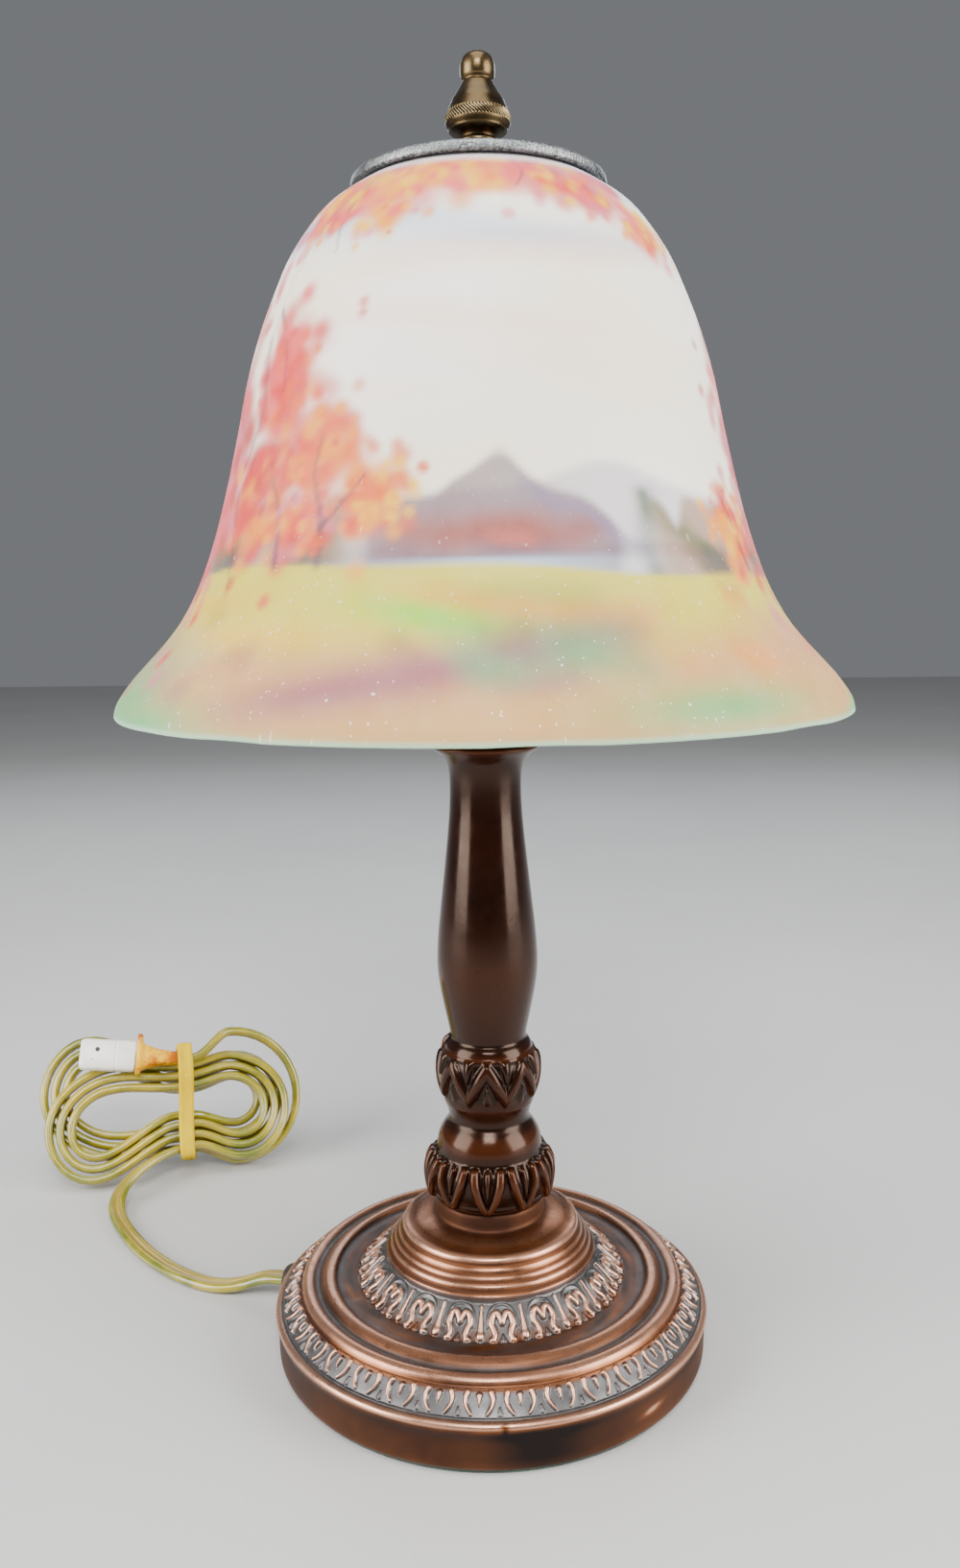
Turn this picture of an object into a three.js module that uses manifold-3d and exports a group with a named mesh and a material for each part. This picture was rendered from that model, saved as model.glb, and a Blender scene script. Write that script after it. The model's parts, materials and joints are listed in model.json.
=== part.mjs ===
// A table lamp with a reverse painted glass shade: cast base, turned column,
// harp, socket and bulb, bell shade with cap and finial, and a flat cord
// folded into a hank beside it. Millimetres, +Z up, origin at the centre of
// the base on the surface it stands on.
import * as THREE from "three";
import { mergeVertices } from "three/addons/utils/BufferGeometryUtils.js";
import Module from "manifold-3d";

const wasm = await Module();
wasm.setup();

// Fits
const seatGap = 0.3; // between two pieces that rest on each other
const cutOverrun = 2; // how far a cutter runs past the face it opens
const mergeReach = 1e-4; // vertices closer than this are one

// Sides of the turned pieces, and steps of the curved ones
const roundSides = 16; // small pieces
const midSides = 24;
const wideSides = 36; // the base and the shade
const nutSides = 6;
const plateSteps = 12;
const bandSteps = 3;

// Base
const baseRadius = 65.4;
const baseHeight = 45;
const baseWall = 2.7;
const collarRadius = 16.2;
const collarHeight = 5.1;
const feltThickness = 1.6;
const feltInset = 2.5;
const rimWall = 4;
const weightRadius = 45;
const weightThickness = 7.4;
const cordRoom = 6.1; // height under the pipe that the lead turns in

// Pipe, nut and washer
const pipeRadius = 4.85;
const pipeBore = 3.65;
const pipeSlip = 0.35; // radial clearance of whatever the pipe passes through
const pipeTopReach = 6; // above the socket cap's bottom
const nutAcross = 16;
const nutThickness = 3;
const washerRadius = 12;
const washerThickness = 1;

// Column and cup
const columnRadius = 18.9;
const columnHeight = 136.2;
const cupRadius = 18;
const cupHeight = 4.3;

// Harp
const saddleLength = 58;
const saddleWidth = 14;
const saddleThickness = 1.5;
const harpFoot = 23; // from the axis to each foot
const postRadius = 1.9;
const postHeight = 10;
const ferruleRadius = 4;
const ferruleBore = 2.5;
const ferruleLength = 14;
const ferruleLift = 8;
const wireRadius = 2;
const harpRise = 138.7; // saddle to the top of the bow, on the wire's centre
const harpHalfWidth = 38;
const legSlack = 3; // of the bow's straight legs above the lifted ferrules
const bowShoulder = 9; // half the height over which the bow widens
const bowSteps = 12; // of the round top
const bowRings = 44;
const studFlange = 7;
const studFlangeThickness = 1.2;
const studRadius = 2.9;
const studLength = 24;

// Socket and bulb
const socketRadius = 16.8;
const socketCapHeight = 13;
const sheetWall = 0.8;
const shellLength = 37.5;
const linerWall = 0.7;
const hubRadius = 6.6;
const hubHeight = 5;
const blockHeight = 14.3;
const screwShellLength = 21.5;
const contactRadius = 3;
const contactHeight = 1.7;
const screwRadius = 13.2; // of the bulb's screw cap
const screwSlip = 0.5;
const bulbTipRadius = 4.6;
const bulbTipHeight = 1.2;
const bulbCapHeight = 24;
const bulbRadius = 24;
const bulbHeight = 63;
const keyTurn = 90; // degrees round the socket from +X
const keyStemRadius = 1.8;
const stemShare = 0.4; // of the block's radius, where the stem ends inside
const knobFlatShare = 0.4; // thickness of the flat knob to its width
const keyHeight = 9; // of the key's axis above the socket cap
const keyReach = 33; // from the axis to the knob's outer face
const keyKnobRadius = 6.5;
const keyKnobLength = 9;

// Shade, cap and finial
const shadeRadius = 102;
const shadeHeight = 142;
const shadeWall = 3;
const neckShare = 0.2647; // of the shade's radius, that is its neck
const shadeLip = 5; // of glass inside the neck, round the hole
const seatInset = 1; // inside the neck
const seatThickness = 0.9;
const gasketInset = 1; // of its bore, outside the hole
const gasketOverlap = 1.6; // outside the neck
const gasketThickness = 1.2;
const capOverhang = 3; // of its rim, outside the glass
const capHeight = 11.4;
const capWall = 0.8;
const capDrop = 4.8; // of the rim below the gasket's top
const studSlip = 0.4;
const finialRadius = 8.95;
const finialHeight = 24.2;
const finialBoreDepth = 12;

// Cord, hank, band and plug
const cordWidth = 6.2;
const cordThickness = 3.1;
const leadWidth = 5.8;
const leadThickness = 2.8;
const leadRise = 1.2; // of the lead above the felt
const cornerShare = 0.55; // how full the flat cord's corners are
const cordSides = 8;
const loopSides = 6;
const loopSteps = 24;
const exitTurn = 163; // degrees round the base from +X
const exitHeight = 7.4;
const bushingRadius = 4.6;
const bushingFlange = 5.4;
const bushingReach = 4; // outside the base wall
const bushingDepth = 6; // inside it
const bushingLip = 1.1;
const bushingFlangeThickness = 1.6;
const loopClearance = 1.2;
const layerClearance = 0.7;
const hankYaw = 15;
const hankLean = 30;
const hankPlace = [-122, 122]; // of the waist, from the lamp's axis
const leftReach = 44; // of the innermost loop, from the waist
const rightReach = 28;
const lobeLeft = 11.5; // half widths of the innermost loop
const lobeRight = 8.6;
const waistHalfWidth = 4.5;
const waistFlat = 3; // half length of the straight part under the band
const frontDropLeft = 7;
const frontDropRight = 4;
const backRiseLeft = 9;
const turnsIn = 3; // turns in the front layer
const turnsOut = 3.5; // turns in the back layer
const climbShare = 0.14; // of a turn, for the climb between the layers
const endShare = 0.45; // of a turn, for the last run's return to the front
const pushShares = [1.1, 0.6]; // of that, before its end, where it is pushed out
const backShares = [0.7, 0.25]; // where it comes forward
const settleShares = [0.33, 0.067]; // where it settles under the band
const endPush = 3.3; // out of the other loops as it passes them
const endSettle = 6; // down again under the band
const gapSteps = 8; // finer steps to measure the gap on
const standGap = 0.3;
const bandWidth = 6;
const bandWall = 1.6;
const bandGrowShare = 1.6; // of the wall, that the outer corners lie outside the inner
const bandSlack = 1;
const runStepShare = 1.2; // of the cord's width, between rings of the free stretch
const mostRunSteps = 40;
const broadShare = 0.6; // of the run, where it starts to turn with the hank
const leadSteps = 6;
const exitDropShare = 2.2; // of the cord's width from the bushing, to half way down
const leadTurnShare = 1.2; // of the lead's thickness, from the axis to its turn upwards
const plugTilt = 8; // upwards across the loops
const plugOut = 3; // out of them
const plugLength = 18;
const flangeHalfHeight = 8;
const flangeHalfDepth = 4.4;
const coverLength = 21;
const coverHalfHeight = 6;
const coverHalfDepth = 3.7;
const coverWall = 1.1;
const bladeLength = 16;
const bladeHeight = 6.3;
const bladeThickness = 1.5;
const bladeSpacing = 4;

// Each point of an outline is [share of the radius, share of the height]
const shadeShares = [
  [1, 0], [0.997, 0.018], [0.985, 0.039], [0.953, 0.067], [0.872, 0.13], [0.783, 0.222], [0.745, 0.285],
  [0.68, 0.44], [0.621, 0.623], [0.585, 0.708], [0.546, 0.778], [0.51, 0.835], [0.466, 0.884],
  [0.418, 0.926], [0.346, 0.961], [0.288, 0.986],
];
const baseShares = [
  [0.986, 0], [0.988, 0.18], [1, 0.235], [1, 0.28], [0.978, 0.31], [0.944, 0.37], [0.887, 0.415],
  [0.876, 0.455], [0.845, 0.46], [0.806, 0.42], [0.776, 0.465], [0.745, 0.49], [0.712, 0.46],
  [0.63, 0.462], [0.612, 0.5], [0.57, 0.555], [0.5, 0.595], [0.487, 0.62], [0.468, 0.65],
  [0.468, 0.68], [0.447, 0.7], [0.447, 0.73], [0.428, 0.755], [0.428, 0.785], [0.405, 0.815],
  [0.392, 0.842], [0.33, 0.864], [0.262, 0.887],
];
const columnShares = [
  [0.857, 0], [0.974, 0.03], [1, 0.066], [0.968, 0.082], [0.885, 0.102], [0.834, 0.11], [0.82, 0.125],
  [0.708, 0.162], [0.634, 0.178], [0.66, 0.2], [0.752, 0.23], [0.822, 0.286], [0.804, 0.311],
  [0.668, 0.345], [0.583, 0.363], [0.606, 0.376], [0.673, 0.425], [0.743, 0.472], [0.789, 0.532],
  [0.777, 0.57], [0.71, 0.664], [0.633, 0.757], [0.56, 0.851], [0.544, 0.9], [0.549, 0.944],
  [0.6, 0.967], [0.762, 0.988], [0.82, 1],
];
const capShares = [
  [0.985, 0], [1, 0.08], [1, 0.2], [0.975, 0.28], [0.92, 0.4], [0.84, 0.52], [0.7, 0.64],
  [0.5, 0.78], [0.3, 0.9], [0.2, 0.94], [0.17, 1],
];
const finialShares = [
  [0.74, 0], [0.74, 0.055], [0.51, 0.085], [0.56, 0.13], [0.86, 0.16], [0.94, 0.205], [1, 0.28],
  [0.95, 0.36], [0.85, 0.44], [0.73, 0.525], [0.57, 0.605], [0.445, 0.68], [0.445, 0.72],
  [0.486, 0.76], [0.486, 0.84], [0.41, 0.92], [0.25, 0.975], [0, 1],
];
const bulbShares = [
  [0.53, 0], [0.56, 0.1], [0.72, 0.25], [0.92, 0.43], [1, 0.6], [0.97, 0.74], [0.83, 0.87],
  [0.56, 0.96], [0.25, 0.99], [0, 1],
];
const cupShares = [
  [0.72, 0], [0.86, 0.25], [1, 0.55], [1, 1],
];
const knobShares = [
  [0, 0], [0.5, 0], [1, 0.25], [1, 0.8], [0.8, 1], [0, 1],
];
// [share of the length, of the flange's half height, of its half depth, lift]
const plugShares = [
  [0, 0.3, 0.82, 0], [0.4, 0.36, 0.84, 0], [0.58, 0.45, 0.84, 0], [0.86, 0.68, 0.84, 0],
  [0.9, 1, 1, 0.12], [1, 1, 1, 0.12],
];
// [share of the cover's length, of its half height and depth]
const coverShares = [
  [0, 1], [0.92, 1], [1, 0.86],
];
// The hollow under the base's dome, from the pipe out to the weight's rim
const domeShares = [
  [0.2, 0.9], [0.45, 0.72], [0.55, 0.3], [0.62, 0],
];

const deg = THREE.MathUtils.degToRad;
const group = new THREE.Group();

function finish(colour, roughness, metalness, extra = {}) {
  return new THREE.MeshStandardMaterial({ color: colour, roughness, metalness, ...extra });
}

function addPiece(name, geometry, material, parent = group) {
  const mesh = new THREE.Mesh(geometry, material);
  mesh.name = name;
  parent.add(mesh);
  return mesh;
}

// A closed outline of [radius, height] points turned about Z
function turned(points, sides = roundSides) {
  const outline = points.map(([r, z]) => new THREE.Vector2(r, z));
  outline.push(outline[0].clone());
  return new THREE.LatheGeometry(outline, sides).rotateX(deg(90));
}

// Shares of a radius and a height made into outline points
function scaled(shares, radius, height, base = 0) {
  return shares.map(([r, z]) => [r * radius, base + z * height]);
}

// The same outline moved inwards by a wall, each point along its own normal
function inset(points, wall) {
  return points.map(([r, z], i) => {
    const [r0, z0] = points[Math.max(i - 1, 0)];
    const [r1, z1] = points[Math.min(i + 1, points.length - 1)];
    const length = Math.hypot(r1 - r0, z1 - z0);
    return [r - (wall * (z1 - z0)) / length, z + (wall * (r1 - r0)) / length];
  });
}

// The radius that a rising outline has at a height
function radiusAt(points, height) {
  const above = points.findIndex(([, z]) => z > height);
  const [[r0, z0], [r1, z1]] = [points[above - 1], points[above]];
  return r0 + ((r1 - r0) * (height - z0)) / (z1 - z0);
}

function ring(inner, outer, bottom, height, sides = roundSides) {
  const top = bottom + height;
  return turned([[inner, bottom], [outer, bottom], [outer, top], [inner, top]], sides);
}

function solid(geometry) {
  const bare = geometry.index ? geometry.toNonIndexed() : geometry.clone();
  bare.deleteAttribute("normal");
  bare.deleteAttribute("uv");
  const merged = mergeVertices(bare, mergeReach);
  return new wasm.Manifold(new wasm.Mesh({
    numProp: 3,
    vertProperties: merged.attributes.position.array,
    triVerts: new Uint32Array(merged.index.array),
  }));
}

function toGeometry(made) {
  const mesh = made.getMesh();
  const geometry = new THREE.BufferGeometry();
  geometry.setAttribute("position", new THREE.BufferAttribute(new Float32Array(mesh.vertProperties), 3));
  geometry.setIndex(new THREE.BufferAttribute(new Uint32Array(mesh.triVerts), 1));
  geometry.computeVertexNormals();
  return geometry;
}

// A round bar from one point to another
function bar(from, to, radius, sides = roundSides) {
  const geometry = new THREE.CylinderGeometry(radius, radius, from.distanceTo(to), sides);
  const along = to.clone().sub(from).normalize();
  const turn = new THREE.Quaternion().setFromUnitVectors(new THREE.Vector3(0, 1, 0), along);
  const middle = from.clone().add(to).multiplyScalar(0.5);
  return geometry.applyQuaternion(turn).translate(middle.x, middle.y, middle.z);
}

// The flat cord's section: an oval with full corners
function cordSection(width, thickness, sides) {
  const full = (value) => Math.sign(value) * Math.abs(value) ** cornerShare;
  return Array.from({ length: sides }, (_, k) => {
    const turn = (2 * Math.PI * k) / sides;
    return [(full(Math.cos(turn)) * width) / 2, (full(Math.sin(turn)) * thickness) / 2];
  });
}

// One ring of the section at each point, its broad side kept along the
// direction given for that point
function cordRings(points, broad, section) {
  return points.map((p, i) => {
    const next = points[Math.min(i + 1, points.length - 1)];
    const along = next.clone().sub(points[Math.max(i - 1, 0)]).normalize();
    const side = broad[i].clone().addScaledVector(along, -broad[i].dot(along)).normalize();
    const thin = along.clone().cross(side);
    return section.map(([x, y]) => p.clone().addScaledVector(side, x).addScaledVector(thin, y));
  });
}

// Rings of points joined into one closed tube
function tube(rings) {
  const sides = rings[0].length;
  const position = rings.flat().flatMap((p) => [p.x, p.y, p.z]);
  const index = [];
  for (let i = 0; i + 1 < rings.length; i++) {
    for (let k = 0; k < sides; k++) {
      const a = i * sides + k;
      const b = i * sides + ((k + 1) % sides);
      index.push(a, b, b + sides, a, b + sides, a + sides);
    }
  }
  const last = (rings.length - 1) * sides;
  for (let k = 1; k + 1 < sides; k++) {
    index.push(0, k + 1, k, last, last + k, last + k + 1);
  }
  const geometry = new THREE.BufferGeometry();
  geometry.setAttribute("position", new THREE.BufferAttribute(new Float32Array(position), 3));
  geometry.setIndex(index);
  geometry.computeVertexNormals();
  return geometry;
}

const ease = (x) => THREE.MathUtils.smoothstep(x, 0, 1);

// Finishes
const copper = finish(0x8a5a3c, 0.45, 0.9);
const lacquer = finish(0x3a120c, 0.2, 0.3);
const brass = finish(0xa8873f, 0.35, 1);
const agedBrass = finish(0x5d4527, 0.3, 0.9);
const pewter = finish(0x4a4744, 0.5, 0.9);
const steel = finish(0x9a9a98, 0.4, 1);
const iron = finish(0x2c2c2e, 0.8, 0.6);
const felt = finish(0x23392a, 1, 0);
const card = finish(0xb59a6e, 0.9, 0);
const phenolic = finish(0x1a1512, 0.5, 0);
const bulbGlass = finish(0xf2f0e8, 0.4, 0, { transparent: true, opacity: 0.9 });
const paintedGlass = finish(0xd9cfa6, 0.35, 0, { transparent: true, opacity: 0.85 });
const clearRubber = finish(0xd8d2c0, 0.6, 0);
const cordPlastic = finish(0xbfae52, 0.35, 0, { transparent: true, opacity: 0.9 });
const amber = finish(0xd88a1c, 0.3, 0, { transparent: true, opacity: 0.85 });
const whitePlastic = finish(0xece6dc, 0.4, 0);
const yellowBand = finish(0xe8c63c, 0.6, 0);

// Heights of the parts stacked on the pipe
const baseBottom = feltThickness + seatGap;
const baseTop = baseBottom + baseHeight;
const nutBottom = feltThickness + cordRoom;
const washerBottom = nutBottom + nutThickness + seatGap;
const weightBottom = washerBottom + washerThickness + seatGap;
const ceiling = weightBottom + weightThickness + seatGap;
const columnBottom = baseTop + seatGap;
const cupBottom = columnBottom + columnHeight + seatGap;
const saddleBottom = cupBottom + cupHeight + seatGap;
const saddleTop = saddleBottom + saddleThickness;
const socketBottom = saddleTop + seatGap;
const socketCapTop = socketBottom + socketCapHeight;
const pipeHole = pipeRadius + pipeSlip;

// Base: felt, cast shell, weight, washer, nut and the cord's bushing
const exit = deg(exitTurn);
const atExit = (r, z) => new THREE.Vector3(r * Math.cos(exit), r * Math.sin(exit), z);

addPiece("felt_pad", ring(0, baseRadius - feltInset, 0, feltThickness, wideSides), felt);

const baseOutside = [
  ...scaled(baseShares, baseRadius, baseHeight, baseBottom),
  [collarRadius, baseTop - collarHeight], [collarRadius, baseTop],
];
const domeHeight = baseTop - collarHeight - ceiling;
const baseInside = [
  [pipeHole, baseTop], [pipeHole, ceiling + domeHeight - baseWall],
  ...scaled(domeShares, weightRadius, domeHeight, ceiling),
  [weightRadius + baseWall, ceiling], [baseRadius - rimWall, ceiling - 2 * rimWall],
  [baseRadius - rimWall, baseBottom],
];
const bushingHole = bar(
  atExit(baseRadius - 2 * rimWall, exitHeight), atExit(baseRadius + cutOverrun, exitHeight),
  bushingRadius + seatGap,
);
const shellSolid = solid(turned([...baseOutside, ...baseInside], wideSides)).subtract(solid(bushingHole));
addPiece("base_shell", toGeometry(shellSolid), copper);

addPiece("base_weight", ring(pipeHole, weightRadius, weightBottom, weightThickness, midSides), iron);
addPiece("lock_washer", ring(pipeHole, washerRadius, washerBottom, washerThickness), steel);
const nutHole = ring(0, pipeHole, nutBottom - cutOverrun, nutThickness + 2 * cutOverrun);
const nut = solid(ring(0, nutAcross / 2, nutBottom, nutThickness, nutSides)).subtract(solid(nutHole));
addPiece("pipe_nut", toGeometry(nut), steel);

const leadHole = leadWidth / 2 + pipeSlip;
const bushing = turned([
  [leadHole, -bushingDepth], [bushingRadius, -bushingDepth], [bushingRadius, seatGap],
  [bushingFlange, seatGap], [bushingFlange, seatGap + bushingFlangeThickness],
  [cordWidth / 2 + bushingLip, bushingReach], [leadHole, bushingReach],
]);
bushing.rotateY(deg(90)).translate(baseRadius, 0, exitHeight).rotateZ(exit);
addPiece("cord_bushing", bushing, phenolic);

// Pipe, column and cup
const pipeTop = socketBottom + pipeTopReach;
addPiece("lamp_pipe", ring(pipeBore, pipeRadius, nutBottom, pipeTop - nutBottom), steel);
addPiece("column", turned([
  ...scaled(columnShares, columnRadius, columnHeight, columnBottom),
  [pipeHole, columnBottom + columnHeight], [pipeHole, columnBottom],
], midSides), lacquer);
addPiece("column_cup", turned([
  ...scaled(cupShares, cupRadius, cupHeight, cupBottom),
  [pipeHole, cupBottom + cupHeight], [pipeHole, cupBottom],
], midSides), brass);

// Harp: saddle with its two posts, the bow, and the ferrules that lock it
const saddleOutline = new THREE.Shape();
const saddleEnd = (saddleLength - saddleWidth) / 2;
saddleOutline.absarc(saddleEnd, 0, saddleWidth / 2, -deg(90), deg(90));
saddleOutline.absarc(-saddleEnd, 0, saddleWidth / 2, deg(90), deg(270));
const saddleHole = new THREE.Path();
saddleHole.absarc(0, 0, pipeHole, 0, deg(360));
saddleOutline.holes.push(saddleHole);
const saddlePlate = new THREE.ExtrudeGeometry(saddleOutline, {
  depth: saddleThickness, bevelEnabled: false, curveSegments: plateSteps,
}).translate(0, 0, saddleBottom);
let saddleSolid = solid(saddlePlate);
for (const side of [-1, 1]) {
  const foot = new THREE.Vector3(side * harpFoot, 0, saddleBottom + saddleThickness / 2);
  const post = bar(foot, foot.clone().setZ(saddleTop + postHeight), postRadius, plateSteps);
  saddleSolid = saddleSolid.add(solid(post));
}
addPiece("harp_saddle", toGeometry(saddleSolid), brass);

const wireBottom = saddleTop + postHeight + seatGap;
const wireTop = saddleTop + harpRise;
const ferruleBottom = saddleTop + seatGap;
const straightTop = ferruleBottom + ferruleLength + ferruleLift + legSlack;
const bowCentre = wireTop - harpHalfWidth;
const halfBow = [
  [harpFoot, wireBottom], [harpFoot, straightTop - legSlack], [harpFoot, straightTop],
  [(harpFoot + harpHalfWidth) / 2, straightTop + bowShoulder], [harpHalfWidth, straightTop + 2 * bowShoulder],
  [harpHalfWidth, (straightTop + 2 * bowShoulder + bowCentre) / 2],
];
const bowArc = Array.from({ length: bowSteps + 1 }, (_, i) => {
  const turn = (Math.PI * i) / bowSteps;
  return new THREE.Vector3(harpHalfWidth * Math.cos(turn), 0, bowCentre + harpHalfWidth * Math.sin(turn));
});
const bowPoints = [
  ...halfBow.map(([x, z]) => new THREE.Vector3(x, 0, z)), ...bowArc,
  ...halfBow.map(([x, z]) => new THREE.Vector3(-x, 0, z)).reverse(),
];
const bowCurve = new THREE.CatmullRomCurve3(bowPoints, false, "centripetal");
const bowSection = cordSection(2 * wireRadius, 2 * wireRadius, cordSides);
const bowAt = bowCurve.getSpacedPoints(bowRings);
addPiece("harp_bow", tube(cordRings(bowAt, bowAt.map(() => new THREE.Vector3(0, 1, 0)), bowSection)), brass);

const ferrules = { left: -1, right: 1 };
for (const [side, sign] of Object.entries(ferrules)) {
  const sleeve = ring(ferruleBore, ferruleRadius, ferruleBottom, ferruleLength);
  addPiece(`harp_ferrule_${side}`, sleeve.translate(sign * harpFoot, 0, 0), brass);
}

const studBottom = wireTop + wireRadius + seatGap;
const studTop = studBottom + studLength;
addPiece("harp_stud", turned([
  [0, studBottom], [studFlange, studBottom], [studFlange, studBottom + studFlangeThickness],
  [studRadius, studBottom + studFlangeThickness], [studRadius, studTop], [0, studTop],
]), brass);

// Socket: cap, shell, liner, insulating block, screw shell and contact
const shellInner = socketRadius - sheetWall;
const shellBottom = socketCapTop + seatGap;
const hubTop = socketBottom + hubHeight;
const capShoulder = socketCapTop - hubHeight;
addPiece("socket_cap", turned([
  [hubRadius, socketBottom], [hubRadius, hubTop], [socketRadius, capShoulder], [socketRadius, socketCapTop],
  [shellInner, socketCapTop], [shellInner, capShoulder + sheetWall],
  [hubRadius - sheetWall, hubTop + sheetWall], [pipeHole, hubTop + sheetWall], [pipeHole, socketBottom],
], midSides), brass);
const keyAxis = socketCapTop + keyHeight;
const onKeyAxis = (reach) => new THREE.Vector3(reach, 0, keyAxis);
const keyHole = bar(
  onKeyAxis(shellInner - 3 * linerWall), onKeyAxis(socketRadius + cutOverrun), keyStemRadius + pipeSlip,
).rotateZ(deg(keyTurn));
const shellSolidRing = solid(ring(shellInner, socketRadius, shellBottom, shellLength, midSides));
addPiece("socket_shell", toGeometry(shellSolidRing.subtract(solid(keyHole))), brass);
const linerOuter = shellInner - seatGap;
const linerInner = linerOuter - linerWall;
const linerSolid = solid(ring(linerInner, linerOuter, shellBottom, shellLength, midSides));
addPiece("socket_liner", toGeometry(linerSolid.subtract(solid(keyHole))), card);

const blockRadius = linerInner - seatGap;
const blockBottom = capShoulder + 2 * sheetWall + seatGap;
const blockTop = blockBottom + blockHeight;
const stemInner = blockRadius * stemShare;
const blockBore = bar(
  onKeyAxis(stemInner - seatGap), onKeyAxis(blockRadius + cutOverrun), keyStemRadius + pipeSlip,
).rotateZ(deg(keyTurn));
const blockSolid = solid(ring(0, blockRadius, blockBottom, blockHeight, midSides)).subtract(solid(blockBore));
addPiece("socket_block", toGeometry(blockSolid), phenolic);

const screwShellBottom = blockTop + seatGap;
const screwShellInner = screwRadius + screwSlip;
addPiece("screw_shell", turned([
  [contactRadius + screwSlip, screwShellBottom], [screwShellInner + sheetWall, screwShellBottom],
  [screwShellInner + sheetWall, screwShellBottom + screwShellLength],
  [screwShellInner, screwShellBottom + screwShellLength],
  [screwShellInner, screwShellBottom + sheetWall], [contactRadius + screwSlip, screwShellBottom + sheetWall],
], midSides), brass);
addPiece("centre_contact", ring(0, contactRadius, screwShellBottom, contactHeight), brass);

// Socket key: the stem turns in the block, with a flat knob outside
const stemEnd = keyReach - keyKnobLength / 2;
const stem = solid(bar(onKeyAxis(stemInner), onKeyAxis(stemEnd), keyStemRadius, plateSteps));
const knob = turned(scaled(knobShares, keyKnobRadius, keyKnobLength), plateSteps)
  .scale(1, knobFlatShare, 1).rotateY(deg(90)).translate(keyReach - keyKnobLength, 0, keyAxis);
addPiece("socket_key", toGeometry(stem.add(solid(knob)).rotate([0, 0, keyTurn])), phenolic);

// Bulb
const tipBottom = screwShellBottom + contactHeight + seatGap;
const bulbCapBottom = tipBottom + bulbTipHeight + seatGap;
const bulbBottom = bulbCapBottom + bulbCapHeight + seatGap;
addPiece("bulb_contact", ring(0, bulbTipRadius, tipBottom, bulbTipHeight), steel);
addPiece("bulb_cap", turned([
  [0, bulbCapBottom], [bulbTipRadius, bulbCapBottom], [screwRadius, bulbCapBottom + bulbTipRadius],
  [screwRadius, bulbCapBottom + bulbCapHeight], [0, bulbCapBottom + bulbCapHeight],
], midSides), steel);
const bulbOutline = [[0, bulbBottom], ...scaled(bulbShares, bulbRadius, bulbHeight, bulbBottom)];
addPiece("bulb_globe", turned(bulbOutline, midSides), bulbGlass);

// Shade, clamped between the seat below and the gasket and cap above
const seatBottom = studBottom + studFlangeThickness + seatGap;
const glassTop = seatBottom + seatThickness + seatGap + shadeWall;
const neckRadius = neckShare * shadeRadius;
const shadeHole = neckRadius - shadeLip;
const studHole = studRadius + studSlip;
addPiece("shade_seat", ring(studHole, neckRadius - seatInset, seatBottom, seatThickness, midSides), brass);
const shadeOutside = scaled(shadeShares, shadeRadius, shadeHeight, glassTop - shadeHeight);
shadeOutside.push([neckRadius, glassTop]);
const shadeInside = inset(shadeOutside, shadeWall).slice(0, -1);
shadeInside[0][1] = shadeOutside[0][1];
addPiece("shade_glass", turned([
  ...shadeOutside, [shadeHole, glassTop], [shadeHole, glassTop - shadeWall],
  [neckRadius - seatGap, glassTop - shadeWall], ...shadeInside.reverse(),
], wideSides), paintedGlass);
const gasketBottom = glassTop + seatGap;
const gasketTop = gasketBottom + gasketThickness;
const gasketOuter = neckRadius + gasketOverlap;
const gasketRing = ring(shadeHole + gasketInset, gasketOuter, gasketBottom, gasketThickness, midSides);
addPiece("cap_gasket", gasketRing, clearRubber);
const capBottom = gasketTop - capDrop;
const capRadius = radiusAt(shadeOutside, capBottom) + capOverhang;
const capOutside = scaled(capShares, capRadius, capHeight, capBottom);
const capInside = inset(capOutside, capWall).filter(([r]) => r > studHole + capWall);
capInside[0][1] = capOutside[0][1];
const capTop = capBottom + capHeight;
addPiece("shade_cap", turned([
  ...capOutside, [studHole, capTop], [studHole, capInside.at(-1)[1]], ...capInside.reverse(),
], wideSides), pewter);
const finialBottom = capTop + seatGap;
addPiece("finial", turned([
  ...scaled(finialShares, finialRadius, finialHeight, finialBottom),
  [0, finialBottom + finialBoreDepth], [studHole, finialBottom + finialBoreDepth], [studHole, finialBottom],
], midSides), agedBrass);

// The hank lies in its own frame: x runs along it, y across its loops and z
// out of them; the frame leans back and is turned about the vertical
const frameEuler = new THREE.Euler(deg(90 - hankLean), 0, deg(hankYaw), "ZYX");
const frameTurn = new THREE.Quaternion().setFromEuler(frameEuler);
const pitch = cordThickness + loopClearance;
const layerPlane = (cordWidth + layerClearance) / 2;

// One half of the innermost loop, by the share run from the lower waist round
// the end's lobe to the upper waist: a flank drawn in at the waist, a half
// circle and the flank again. Gives the place and the way the loops pile
function halfLoop(share, reach, lobe) {
  const flank = reach - lobe;
  const length = 2 * flank + Math.PI * lobe;
  const at = share * length;
  const drawn = (x) => waistHalfWidth + (lobe - waistHalfWidth) * ease((x - waistFlat) / (flank - waistFlat));
  if (at < flank) return [at, -drawn(at), 0, -1];
  if (length - at < flank) return [length - at, drawn(length - at), 0, 1];
  const [out, up] = [Math.sin((at - flank) / lobe), -Math.cos((at - flank) / lobe)];
  return [flank + lobe * out, lobe * up, out, up];
}

function innerLoop(turn) {
  const share = turn - Math.floor(turn);
  if (share < 0.5) return halfLoop(2 * share, rightReach, lobeRight);
  return halfLoop(2 * share - 1, leftReach, lobeLeft).map((value) => -value);
}

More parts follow.
